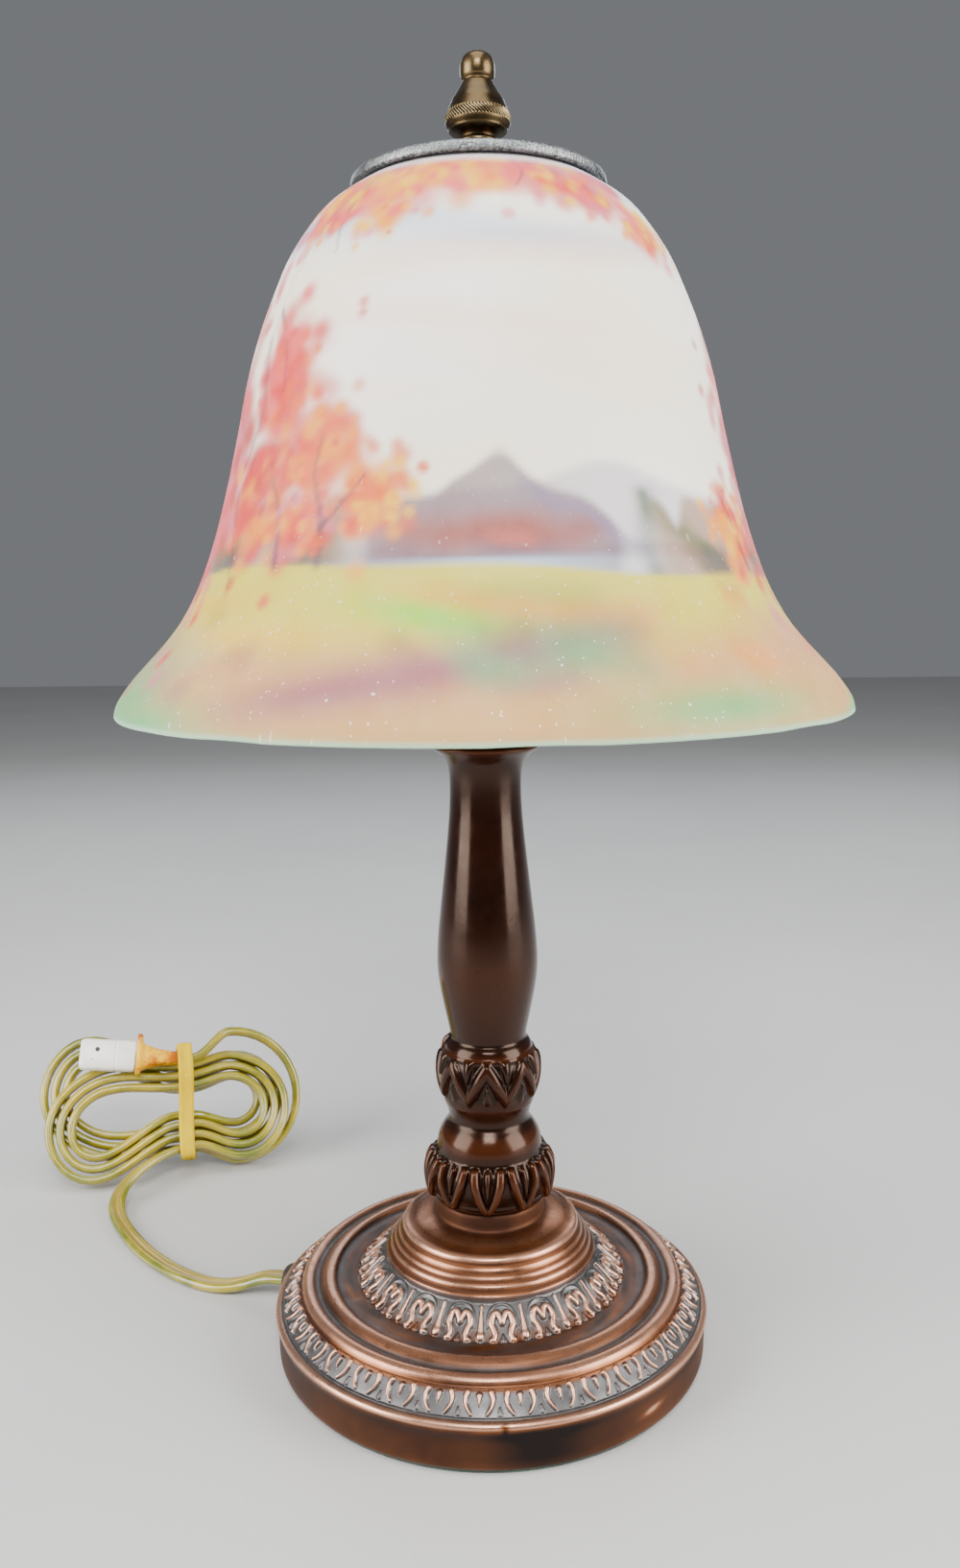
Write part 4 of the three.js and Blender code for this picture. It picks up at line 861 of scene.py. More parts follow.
def bead(x, v, atX, atV, wide, tall):
    return np.clip(1 - ((x - atX) / wide) ** 2 - ((v - atV) / tall) ** 2, 0, 1) ** 0.5


def eggAndDart(x, v):
    # two blades that lean together towards the foot, a drop between them and a dart between the pairs
    x = np.abs(x)
    bladeLine = [(0.3, 0.12), (0.335, 0.3), (0.325, 0.5), (0.275, 0.68), (0.19, 0.86)]
    blade = stroke(x, v, bladeLine, 0.082, 0.03, 0.6)
    drop = stroke(x, v, [(0.0, 0.22), (0.0, 0.56)], 0.08, 0.012, 0.6)
    dart = 0.55 * stroke(x, v, [(0.5, 0.86), (0.5, 0.62)], 0.06, 0.01, 0.6)
    return np.maximum.reduce([blade, 0.9 * drop, dart])


def archAndLeaf(x, v):
    # an outer arch line, a stroke with two curls that meet in a cusp, legs on beads, and pins between them
    x = np.abs(x)
    archLine = [(0.0, 0.05), (0.13, 0.08), (0.25, 0.17), (0.335, 0.36), (0.35, 0.6)]
    curlLine = [(0.0, 0.47), (0.05, 0.37), (0.115, 0.27), (0.19, 0.29), (0.245, 0.41)]
    legLine = [(0.245, 0.41), (0.25, 0.52), (0.195, 0.66), (0.175, 0.78), (0.215, 0.9)]
    return np.maximum.reduce([
        0.42 * stroke(x, v, archLine, 0.042, 0.024),
        stroke(x, v, curlLine, 0.078, 0.085),
        stroke(x, v, legLine, 0.086, 0.066),
        bead(x, v, 0.215, 0.9, 0.088, 0.085),
        0.85 * bead(x, v, 0.0, 0.47, 0.095, 0.11),
        0.9 * stroke(x, v, [(0.5, 0.1), (0.5, 0.7)], 0.036, 0.075),
        bead(x, v, 0.5, 0.8, 0.095, 0.15),
        0.55 * stroke(x, v, [(0.0, 0.92), (0.0, 0.76)], 0.07, 0.01)])


strips = {  # where the grey ground begins and fades is told in shares of the band's breadth
    "eggBand": {"edges": eggBand, "pattern": eggAndDart, "count": 35, "turn": 0.102, "depth": 1.05,
                "rows": 38, "inRepeat": 48, "greyBegins": (0.0, 0.22), "greyFades": (1.5, 2.0)},
    "archBand": {"edges": archBand, "pattern": archAndLeaf, "count": 19, "turn": 0, "depth": 1.0,
                 "rows": 48, "inRepeat": 66, "greyBegins": (-0.06, 0.02), "greyFades": (0.4, 0.95)},
}


def hollowness(profile, reach):
    # how far each point lies below the average of its neighbours along the normal
    share = np.ones(2 * reach + 1) / (2 * reach + 1)
    padded = np.concatenate([np.repeat(profile[:1], reach, 0), profile, np.repeat(profile[-1:], reach, 0)])
    smooth = np.stack([np.convolve(padded[:, k], share, mode="valid") for k in (0, 1)], axis=1)
    return ((smooth - profile) * outwards(profile)).sum(1)


def carved(name, profile, depth, wearAndShading, closing, sides, patina=None):
    # the outline moved out by the carving's depth and turned; closing points lead back inside
    normal = outwards(profile)
    r, z = profile[:, :1] + normal[:, :1] * depth, profile[:, 1:] + normal[:, 1:] * depth
    back = turnedGrid(np.asarray(closing, float), sides)
    points = np.concatenate([turnedPoints(r, z, circle(sides)), back])
    masks = {"wearAndShading": np.clip(np.concatenate([wearAndShading, np.full(back.shape[:2], 0.5)]), 0, 1)}
    if patina is not None:
        masks["patina"] = np.clip(np.concatenate([patina, np.zeros(back.shape[:2])]), 0, 1)
    return toMesh(name, points, closedRows=True, crease=0, masks=masks)


def makeStrip(name, profile):
    # a carved strip let into the casting: the outline between its edges, which dips under the casting at both
    strip = strips[name]
    across = acrossBand(profile, strip["edges"])
    part = spaced(profile[(across > -0.085) & (across < 1.085)], strip["rows"])
    v = acrossBand(part, strip["edges"])[:, None]
    angle = circle(strip["count"] * strip["inRepeat"])
    inside = window(v, -0.02, 0.04, 0.96, 1.02)
    buried = 1 - window(v, -0.075, -0.035, 1.035, 1.075)
    carving = strip["pattern"](cell(angle + strip["turn"], strip["count"]), np.clip(v, 0, 1)) * inside
    depth = strip["depth"] * (carving - 0.45 * inside) - base["recess"] * buried
    # the carving's crests are lighter: wear and painted highlight
    wearAndShading = mix(0.4, 0.42 + 0.56 * step(carving, 0.45, 1.0), inside)
    blotch = 0.5 + 0.3 * np.sin(23 * angle + 9 * v) * np.sin(9 * angle - 5 * v) + 0.2 * np.sin(41 * angle + 2)
    patina = (1 - 0.9 * step(carving, 0.45, 0.95)) * (1 - blotch * step(v, *strip["greyFades"]))
    patina = patina * step(v, *strip["greyBegins"])
    behind = part - outwards(part) * base["stripWall"]
    piece = carved(name, part, depth, wearAndShading, [behind[-1], behind[0]], len(angle), patina)
    return place(piece, "copper", "root", "base_shell")


def withEdges(profile, count):
    # points at even distances along the outline, and close rows of them at the edges of the recesses
    at = distances(profile)
    want = [np.linspace(0, at[-1], count)]
    rows = [-0.04, -0.03, -0.01, 0.01, 0.02, 0.98, 0.99, 1.01, 1.03, 1.04]
    for strip in strips.values():
        v = acrossBand(profile, strip["edges"])
        near = (v > -0.3) & (v < 1.3)
        want.append(np.interp(rows, v[near][::-1], at[near][::-1]))
    want = np.sort(np.concatenate(want))
    return np.stack([np.interp(want, at, profile[:, k]) for k in (0, 1)], axis=1)


def makeBase():
    # the turned casting, lowered where the strips lie in it; the wear and shading mask comes from how hollow
    # the outline is, lighter on ridges as wear and painted highlight, darker in hollows as grime and painted
    # shade, with blotches on the flat ring, darker grooves of painted shade, a darker wall whose painted
    # shade is deepest in front, one dent painted lighter as a highlight, and one nick
    profile = softened(baseOutline, 3)
    for name in strips:
        makeStrip(name, profile)
    profile = withEdges(profile, base["rows"])
    angle = circle(base["sides"])
    depth = np.zeros((len(profile), base["sides"]))
    for strip in strips.values():
        across = acrossBand(profile, strip["edges"])[:, None]
        depth -= base["recess"] * window(across, -0.03, 0.01, 0.99, 1.03)
    radius, height = profile[:, :1], profile[:, 1:]
    hollow = hollowness(profile, 3)[:, None]
    # lighter on ridges and darker in hollows: wear and grime, with painted highlight and painted shade
    wearAndShading = 0.5 - 0.62 * hollow + 0 * angle
    patch = (np.sin(7 * angle + 1.2 * radius) * np.sin(4 * angle - 0.9 * radius + 2)
             + 0.5 * np.sin(17 * angle + radius))
    flatZone = window(radius, 38.5, 40.5, 45.0, 47.2)
    wearAndShading = mix(wearAndShading, 0.33 + 0.09 * patch, 0.85 * flatZone)
    patina = flatZone * np.clip(0.36 - 0.3 * patch, 0, 0.7)
    patina = np.maximum(patina, 0.75 * step(hollow, 0.05, 0.24) * (radius > 44))
    patina = np.maximum(patina, 0.8 * step(height, 15.1, 15.5) * (radius > 63.0))
    wearAndShading = mix(wearAndShading, np.maximum(wearAndShading, 0.36), (radius > 44) * (height > 14))
    # the cone's ring grooves darker still: painted shade
    grooves = 0.1 - 1.1 * np.clip(hollowness(profile, 2), 0, 1)[:, None]
    wearAndShading = wearAndShading + window(radius, 24.5, 25.5, 31.2, 32.2) * grooves
    wearAndShading = mix(wearAndShading, np.maximum(wearAndShading, 0.4), 1 - step(radius, 20.5, 22.5))
    wearAndShading = mix(wearAndShading, np.clip(wearAndShading, 0.16, 0.28), 1 - step(radius, 16.9, 18.2))
    # the wall darker all round, with painted shade deepest near the front
    wall = step(radius, 63.8, 64.3) * (1 - step(height, 13.2, 14.4))
    front = wrapped(angle + full / 4)
    dark = 0.26 + 0.18 * bump(front - 0.14, 0.26) + 0.08 * np.sin(5 * angle + 1) * np.sin(3 * angle)
    wearAndShading = wearAndShading - wall * dark
    # the dent is painted lighter, a painted highlight; the nick is darker
    along, across = (front - 0.74) * 64.7 / 3.4, (height - 7.4 - 6.0 * (front - 0.74)) / 0.75
    dent = bump(np.hypot(along, across), 1) * (height < 12)
    nick = bump(front - 0.05, 0.012) * bump(height - 14.4, 1.2) * (radius > 64)
    depth -= 0.3 * dent + 0.3 * nick
    wearAndShading = wearAndShading + 0.9 * dent - 0.5 * nick
    piece = carved("base", profile, depth, wearAndShading, baseInside, base["sides"], patina)
    return place(piece, "copper", "root", "base_shell")


makeBase()
print("base made")


# Column: turned, with leaves cut into its two lower swellings

column = {"sides": 432, "rows": 224, "bottom": 47.2, "top": 183.4, "bore": 5.2, "roll": 0.5, "tab": 1.1}
columnOutline = [
    (15.6, 47.2), (16.2, 47.5), (17.3, 48.2), (18.3, 50.2), (18.75, 53.0), (18.9, 55.6), (18.5, 58.0),
    (17.4, 60.2), (16.3, 61.3), (15.75, 61.9), (15.75, 62.4), (15.7, 63.6), (15.45, 65.3), (14.9, 67.3),
    (13.5, 69.6), (12.2, 71.2), (11.95, 72.2), (12.2, 73.8), (12.7, 75.4), (13.1, 76.5), (13.5, 77.2),
    (13.55, 77.9), (13.75, 78.6), (14.5, 80.2), (15.2, 83.0), (15.5, 86.1), (15.3, 89.2), (14.7, 91.6),
    (13.7, 93.2), (12.4, 94.6), (11.4, 95.6), (11.1, 96.6), (11.6, 99.4), (12.5, 103.6), (13.6, 109.0),
    (14.5, 114.2), (14.9, 119.2), (14.7, 124.4), (14.2, 130.4), (13.4, 137.4), (12.6, 144.4), (11.8, 151.5),
    (11.1, 158.0), (10.6, 163.5), (10.3, 169.5), (10.3, 174.0), (10.6, 177.0), (11.5, 179.2), (13.1, 181.0),
    (14.6, 182.2), (15.3, 182.9), (15.4, 183.4),
]


def hangingLeaves(x, v):
    # two broad strokes that lean together to a point at the foot, a short rib between them, almond hollows
    x = np.abs(x)
    sideLine = [(0.36, 0.05), (0.325, 0.28), (0.235, 0.56), (0.105, 0.84), (0.03, 0.97)]
    side = stroke(x, v, sideLine, 0.15, 0.1, 0.9)
    rib = 0.75 * stroke(x, v, [(0.0, 0.1), (0.0, 0.62)], 0.105, 0.05, 0.9)
    hollow = 0.55 * bead(x, v, 0.5, 0.64, 0.24, 0.3)
    foot = 0.45 * step(v, 0.88, 0.95)
    return np.maximum(np.maximum(side, rib) - hollow * (side < 0.05), foot)


def crossedStrokes(x, v):
    # thick bars that rise to a point and fall again, with a small leaf under each point
    x = np.abs(x)
    bar = stroke(x, v, [(0.0, 0.14), (0.15, 0.33), (0.33, 0.62), (0.5, 0.86)], 0.155, 0.135, 0.85)
    between = 0.85 * stroke(x, v, [(0.5, 0.06), (0.5, 0.44)], 0.15, 0.04)
    leaf = 0.6 * stroke(x, v, [(0.0, 0.58), (0.0, 0.9)], 0.03, 0.13)
    foot = 0.5 * step(v, 0.88, 0.95) + 0 * x
    return np.maximum.reduce([bar, between, leaf, foot]) - 0.25 * (v > 0)


# lower and upper edge, leaves round it, their pattern and its depth
swellings = [(48.2, 61.4, 10, hangingLeaves, 1.9), (78.8, 92.8, 8, crossedStrokes, 1.7)]


def makeColumn():
    # the turned outline with its two carved swellings, and a roll with a small tab over the upper one
    profile = spaced(softened(columnOutline, 3), column["rows"])
    angle = circle(column["sides"])
    height = profile[:, 1:]
    depth = np.zeros((len(profile), column["sides"]))
    # lighter on ridges, darker in hollows: wear and grime, with painted highlight and painted shade
    wearAndShading = 0.5 - 0.55 * hollowness(profile, 5)[:, None] + 0 * angle
    for low, high, count, pattern, deep in swellings:
        v = (high - height) / (high - low)
        inside = window(v, -0.02, 0.06, 0.93, 1.02)
        centred = (cell(angle + full / 4 + 0.04, count) + 1) % 1 - 0.5
        carving = pattern(centred, np.clip(v, 0, 1)) * inside
        carving = np.sign(carving) * np.abs(carving) ** 1.25
        depth += deep * (carving - 0.4 * inside)
        # crests lighter as wear and painted highlight, the cut hollows near black as grime and painted shade
        leaf = 0.3 + 0.36 * np.maximum(carving, 0) + 0.9 * np.minimum(carving, 0)
        wearAndShading = mix(wearAndShading, leaf, inside)
    roll = bump(height - 95.3, 1.0)
    tab = bump(wrapped(angle - np.pi) * 12.5 / 0.8, 1) * window(height, 92.5, 93.5, 96.6, 97.6)
    depth += column["roll"] * (roll - bump(height - 93.45, 0.4)) + column["tab"] * tab
    wearAndShading = wearAndShading + 0.1 * roll + 0.15 * tab
    closing = [(column["bore"], column["top"]), (column["bore"], column["bottom"])]
    piece = carved("columnTurning", profile, depth, wearAndShading, closing, column["sides"])
    return place(piece, "lacquer", "root", "column")


makeColumn()
print("column made")


# Shade: a glass bell with its painting

shade = {"sides": 560, "rimRadius": 102.0, "rimHeight": 194.5, "height": 142.0, "wall": 3.0, "hole": 22.0,
         "curveSteps": 400, "outerSteps": 145, "innerSteps": 18, "lipLift": 0.6, "lipRound": (0.35, 0.12),
         "neckRound": 0.4, "wave": 0.35, "waveShare": 0.8, "insideTint": (0.8, 0.78, 0.72),
         "insideShare": 0.3, "boughSteps": 70, "seed": 7, "leastRadius": 20.0,
         "slant": 1.12}  # the bell's side is this much longer than its height
shadeShares = [
    (1.0, 0.004), (0.9985, 0.012), (0.992, 0.027), (0.978, 0.043), (0.953, 0.067), (0.914, 0.098),
    (0.872, 0.13), (0.823, 0.173), (0.783, 0.222), (0.745, 0.285), (0.712, 0.356), (0.68, 0.44), (0.65, 0.53),
    (0.621, 0.623), (0.585, 0.708), (0.546, 0.778), (0.51, 0.835), (0.466, 0.884), (0.418, 0.926),
    (0.352, 0.961), (0.295, 0.986), (0.2647, 1.0),
]
paints = {
    "cream": (0.93, 0.85, 0.7), "white": (0.96, 0.93, 0.87), "blue": (0.25, 0.44, 0.72),
    "peach": (0.9, 0.48, 0.25), "plum": (0.105, 0.045, 0.085), "rust": (0.3, 0.045, 0.02),
    "olive": (0.13, 0.12, 0.02), "haze": (0.3, 0.16, 0.085), "pine": (0.03, 0.085, 0.028),
    "meadow": (0.6, 0.51, 0.018), "tan": (0.56, 0.27, 0.105), "mauve": (0.27, 0.062, 0.13),
    "mint": (0.055, 0.41, 0.14), "rim": (0.42, 0.68, 0.47), "scarlet": (0.46, 0.006, 0.01),
    "coral": (0.62, 0.018, 0.016), "pink": (0.74, 0.07, 0.09), "orange": (0.72, 0.09, 0.0),
    "gold": (0.82, 0.27, 0.0), "yellow": (0.86, 0.48, 0.0), "leaf": (0.075, 0.23, 0.018),
    "bright": (0.22, 0.6, 0.012), "water": (0.42, 0.56, 0.7), "twig": (0.05, 0.022, 0.05),
    "rose": (0.6, 0.13, 0.2), "violet": (0.17, 0.135, 0.3), "frost": (0.66, 0.67, 0.74),
}
# masses of blossom: degrees from the front, height share, spread round and up, blobs, their size, and paints
# from the heart outwards
masses = [
    (-72, 0.47, 13, 34, 60, 6.6, "scarlet coral rose pink"),
    (-47, 0.6, 8, 12, 30, 5.6, "coral pink coral orange"),
    (-50, 0.4, 9, 13, 34, 5.6, "coral scarlet coral gold"),
    (-33, 0.455, 7.5, 8, 26, 4.8, "orange coral orange gold"),
    (-20, 0.375, 6, 7, 18, 4.2, "orange gold orange yellow"),
    (-36, 0.335, 9, 5, 20, 4.6, "coral orange rose gold"),
    (-46, 0.885, 9, 6, 22, 4.8, "pink coral gold pink"),
    (-26, 0.925, 11, 6, 30, 5.6, "pink gold pink yellow"),
    (2, 0.935, 11, 5.5, 26, 5.6, "gold pink orange yellow"),
    (32, 0.915, 9, 6, 24, 5.2, "coral pink rose yellow"),
    (52, 0.835, 7, 5, 14, 4.2, "pink gold coral yellow"),
    (-25, 0.855, 5, 4, 8, 3.4, "gold orange yellow yellow"),
    (78, 0.44, 12, 30, 50, 6.0, "coral scarlet pink rose"),
    (58, 0.33, 7, 9, 22, 4.6, "orange coral gold yellow"),
    (118, 0.42, 22, 16, 60, 5.6, "orange coral gold yellow"),
    (150, 0.92, 20, 8, 40, 5.0, "pink gold coral rose"),
    (190, 0.38, 20, 12, 60, 5.2, "leaf olive gold orange"),
    (235, 0.48, 18, 24, 80, 6.0, "coral scarlet orange rose"),
    (265, 0.92, 18, 8, 40, 5.0, "gold orange pink yellow"),
]
# boughs: width, then points of degrees from the front and height share
boughs = [
    (1.25, [(-10, 1.0), (-20, 0.975), (-36, 0.94), (-48, 0.87), (-55, 0.77), (-58, 0.65)]),
    (1.35, [(-58, 0.67), (-55, 0.55), (-60, 0.42), (-56, 0.3), (-52, 0.22)]),
    (0.8, [(-38, 0.93), (-41, 0.86), (-39, 0.8)]),
    (0.85, [(-56, 0.72), (-49, 0.65), (-47, 0.57)]),
    (1.1, [(-30, 0.27), (-31, 0.35), (-34, 0.43), (-33, 0.49)]),
    (0.8, [(-31, 0.33), (-26, 0.38), (-22, 0.42)]),
    (1.0, [(-40, 0.27), (-42, 0.36), (-46, 0.42)]),
    (0.95, [(-10, 1.0), (8, 0.965), (24, 0.94), (40, 0.89), (52, 0.82)]),
    (0.6, [(12, 0.96), (14, 0.93), (11, 0.895)]),
    (0.9, [(60, 0.26), (59, 0.33), (56, 0.39)]),
    (1.3, [(80, 0.26), (77, 0.42), (79, 0.58), (75, 0.7)]),
    (1.2, [(116, 0.25), (119, 0.38), (114, 0.5)]),
    (1.3, [(236, 0.25), (239, 0.42), (234, 0.62)]),
    (1.1, [(152, 1.0), (148, 0.94), (158, 0.87), (162, 0.8)]),
    (1.1, [(258, 1.0), (264, 0.94), (274, 0.88)]),
]


def ripples(random, angle, height, count, around, up):
    # a sum of waves that close round the shade, between about minus one and one
    total = 0
    for _ in range(count):
        turns = random.integers(1, around)
        rise = random.uniform(-up, up)
        total = total + np.sin(turns * angle + rise * height + random.uniform(0, full)) / count**0.5
    return total


def paintLand(angle, height, random):
    # layers of paint from the sky down, each mixed over the last by a soft mask of bells, steps and ripples
    colour = np.zeros(angle.shape + (3,)) + np.array(paints["cream"])

    def over(name, mask):
        colour[:] = mix(colour, np.array(paints[name]), np.clip(mask, 0, 1)[..., None])

    below = lambda edge, soft: 1 - step(height, edge - soft, edge + soft)
    near = lambda degrees, width: bump(wrapped(angle - np.radians(degrees)), width)
    level = lambda share, width: bump(height - share, width)
    soft = ripples(random, angle, height, 9, 7, 16)
    streak = ripples(random, angle, height, 9, 4, 60)
    fine = ripples(random, angle, height, 16, 46, 70)
    clump = ripples(random, angle, height, 16, 26, 44)
    # sky, with wisps
    over("white", 0.4 + 0.4 * soft)
    over("peach", 0.34 * step(streak, 0.1, 1.3) * window(height, 0.45, 0.66, 0.8, 0.95))
    over("blue", step(height, 0.74, 0.9) * (0.3 + 0.42 * streak))
    over("blue", 0.42 * bump(height - 0.825 + 0.03 * np.sin(2 * angle), 0.032) * near(-14, 0.55))
    wisp = bump(height - 0.74 + 0.04 * angle, 0.03)
    over("gold", 0.13 * wisp * near(-24, 0.3) * step(soft, -0.9, 0.4))
    over("peach", 0.16 * bump(height - 0.62 + 0.01 * streak, 0.05) * near(2, 0.45))
    # far shore and hills
    far = 0.375 + 0.052 * near(24, 0.22) + 0.014 * np.sin(3 * angle + 0.4) + 0.007 * np.sin(7 * angle + 2.0)
    over("violet", 0.42 * below(far, 0.012))
    top = (0.315 + 0.13 * near(3, 0.19) + 0.055 * near(-14, 0.12) + 0.045 * near(19, 0.1)
           + 0.11 * near(150, 0.3) + 0.1 * near(-120, 0.3) + 0.004 * fine + 0.004 * clump)
    hill = below(top, 0.011)
    over("plum", 0.74 * hill * step(top, 0.32, 0.345))
    over("rust", 0.8 * hill * bump(height - 0.325 - 0.01 * clump, 0.034) * step(top, 0.33, 0.4))
    lit = bump(top - height - 0.022 - 0.008 * clump, 0.014)
    over("violet", 0.45 * hill * lit * step(angle, 0.0, 0.25))
    over("orange", 0.4 * hill * level(0.305, 0.016) * step(clump - 0.5 * fine, 0.2, 1.2))
    over("plum", 0.5 * hill * level(0.292, 0.012) * step(clump, -1.0, 0.6))
    # woods at the sides
    crowns = 0.335 + 0.042 * np.abs(np.sin(9 * angle + 0.6 * np.sin(4 * angle))) ** 0.7 + 0.01 * fine
    wooded = step(np.abs(wrapped(angle - np.radians(4))), 0.42, 0.56)
    woods = wooded * below(crowns, 0.014)
    over("haze", 0.8 * woods)
    over("olive", 0.75 * woods * step(clump, -0.9, 0.5))
    over("pine", 0.7 * woods * step(clump - 0.6 * fine, 0.1, 1.2))
    over("plum", 0.45 * wooded * below(0.296, 0.012) * step(clump, -1.0, 0.6))
    over("pine", 0.85 * near(31, 0.045) * below(0.395, 0.012) * step(clump, -1.6, 0.2))
    # lake and meadow
    lake = 0.281 + 0.003 * np.sin(4 * angle)
    over("water", 0.9 * below(lake, 0.005) * near(2, 0.34))
    over("plum", 0.35 * level(lake, 0.007) * near(4, 0.4))
    shore = 0.262 + 0.012 * np.sin(2 * angle + 2.6) + 0.004 * np.sin(7 * angle + 1)
    over("meadow", 0.95 * below(shore, 0.006))
    over("leaf", 0.5 * below(shore - 0.03, 0.03) * step(soft + 0.6 * clump, 0.1, 1.1))
    over("gold", 0.55 * bump(height - 0.205 + 0.02 * np.sin(3 * angle), 0.026) * step(soft, -0.4, 0.8))
    aside = wrapped(angle + 0.16)
    over("bright", 0.85 * bump(np.hypot(aside / 0.2, (height - 0.192 + 0.1 * aside) / 0.024), 1.0))
    over("orange", 0.34 * level(0.215, 0.03) * step(clump - 0.4 * soft, 0.6, 1.6))
    over("olive", 0.3 * level(0.18, 0.05) * step(clump + 0.6 * fine, 0.5, 1.6))
    # the flare, with a mauve path that rises to the right
    over("tan", 0.85 * below(0.145 - 0.012 * soft, 0.05))
    over("gold", 0.55 * level(0.115, 0.03) * near(42, 0.2) * step(clump, -1.0, 0.6))
    over("rust", 0.3 * level(0.14, 0.04) * step(clump + soft, 0.3, 1.3))
    path = bump(height - 0.1 - 0.11 * np.clip(wrapped(angle + 0.2), -0.7, 1.2), 0.036)
    over("mauve", 0.8 * path * window(wrapped(angle), -0.85, -0.35, 0.25, 0.6))
    over("mauve", 0.5 * level(0.085, 0.04) * step(soft + fine * 0.3, 0.1, 0.9))
    over("rose", 0.36 * level(0.15, 0.045) * step(streak, 0.0, 1.0))
    over("mint", 0.62 * level(0.12, 0.055) * step(soft - 0.5 * clump + 0.3 * streak, -0.1, 1.5))
    over("peach", 0.45 * level(0.12, 0.05) * near(-48, 0.45) * step(streak, -0.8, 0.6))
    over("yellow", 0.4 * bump(height - 0.16 - 0.01 * soft, 0.022) * near(-40, 0.3))
    over("mint", 0.9 * below(0.04 - 0.012 * soft, 0.028) * step(soft + 0.6 * streak, -0.7, 0.4))
    over("mint", 0.75 * level(0.045, 0.035) * (near(33, 0.28) + near(-66, 0.3)))
    return colour


def paintShade(angle, height, radius):
    # the land, then two passes of blossom, the boughs over them, and a last fringe of small touches
    random = np.random.default_rng(shade["seed"])
    colour = paintLand(angle, height, random)
    rise = height[:, 0]
    order = np.argsort(rise)
    upAt = lambda share: share * shade["height"] * shade["slant"]
    radiusAt = lambda share: np.interp(share, rise[order], radius[order])
    up = upAt(rise)

    def dab(name, at, share, size, opacity, hard):
        # a soft round touch of paint, laid only on the rows and columns that it reaches
        rows = np.abs(up - upAt(share)) < size
        columns = np.abs(wrapped(angle[0] - at)) < size / shade["leastRadius"]
        if rows.any() and columns.any():
            spot = np.ix_(rows, columns)
            aside = wrapped(angle[spot] - at) * radius[rows][:, None]
            away = np.hypot(aside, up[rows][:, None] - upAt(share))
            cover = opacity * (1 - step(away, size * hard, size))
            colour[spot] = mix(colour[spot], np.array(paints[name]), cover[..., None])

    def scatter(mass, times, reach, sizes, opacity, chosen, hard):
        # touches of the chosen paints, thrown round the mass's middle by a normal spread
        centre, middle, wide, tall, blobs, blobSize, names = mass
        names = names.split()[chosen]
        for _ in range(times * blobs):
            x, y = random.normal(0, reach, 2)
            name = names[random.integers(len(names))]
            size, cover = blobSize * random.uniform(*sizes), random.uniform(*opacity)
            at = np.radians(centre) + x * wide / radiusAt(middle)
            dab(name, at, middle + y * tall / upAt(1), size, cover, hard)

    for mass in masses:
        scatter(mass, 1, 0.55, (1.0, 1.8), (0.4, 0.7), slice(0, 2), 0.0)
        scatter(mass, 2, 0.7, (0.6, 1.15), (0.5, 0.9), slice(0, 4), 0.1)
    for width, line in boughs:
        dense = curveThrough([(np.radians(a), h) for a, h in line], shade["boughSteps"])
        for i, (a, h) in enumerate(dense):
            thick = width * (1.7 - 0.9 * i / shade["boughSteps"])
            dab("twig", a + 0.004 * np.sin(i * 0.9), h, thick, 0.22, 0.2)
    for mass in masses:
        scatter(mass, 1, 0.98, (0.36, 0.66), (0.45, 0.85), slice(1, 4), 0.2)
    colour = mix(colour, np.array(paints["frost"]), 0.8 * step(height, 0.945, 0.97)[..., None])
    return mix(colour, np.array(paints["rim"]), 0.9 * (1 - step(height, 0.004, 0.014))[..., None])


def makeShade():
    # the bell's outside, its neck, its inside and its lip; the rim's edge is slightly wavy
    low = shade["rimHeight"]
    top = low + shade["height"]
    outline = np.array([(r * shade["rimRadius"], low + h * shade["height"]) for r, h in shadeShares])
    outer = spaced(curveThrough(outline, shade["curveSteps"]), shade["outerSteps"])
    inner = spaced(outer - outwards(outer) * shade["wall"], shade["innerSteps"])[::-1]
    inner[:, 1] = np.minimum(inner[:, 1], top - shade["wall"])
    inner[-1, 1] = low + shade["lipLift"]
    within, beyond = inner[-1, 0], outer[0, 0]
    aside, lift = shade["lipRound"]
    lip = [(within + aside, low + lift), ((beyond + within) / 2, low), (beyond - aside, low + lift)]
    hole, edge = shade["hole"], shade["neckRound"]
    neck = [(hole + edge, top), (hole, top - edge), (hole, top - shade["wall"])]
    profile = np.concatenate([outer, neck, inner, lip])
    grid = turnedGrid(profile, shade["sides"])
    angle = np.arctan2(grid[..., 0], -grid[..., 1])
    height = (grid[..., 2] - low) / shade["height"]
    wavy = shade["wave"] * np.sin(5 * angle + 1) * np.sin(13 * angle) * (1 - step(height, 0.0, 0.03))
    grid[..., 2] += np.clip(wavy, 0, 1) * shade["waveShare"]
    paint = paintShade(angle, height, profile[:, 0])
    inside = np.zeros(len(profile))
    inside[len(outer) + 2:-len(lip)] = 1
    paint = mix(paint, np.array(shade["insideTint"]), shade["insideShare"] * inside[:, None, None])
    piece = toMesh("shade", grid, closedRows=True, crease=60, masks={"paint": paint})
    return place(piece, "paintedGlass", "shade", "shade_glass")


makeShade()
print("shade made")


# Cap, finial and the small turned pieces

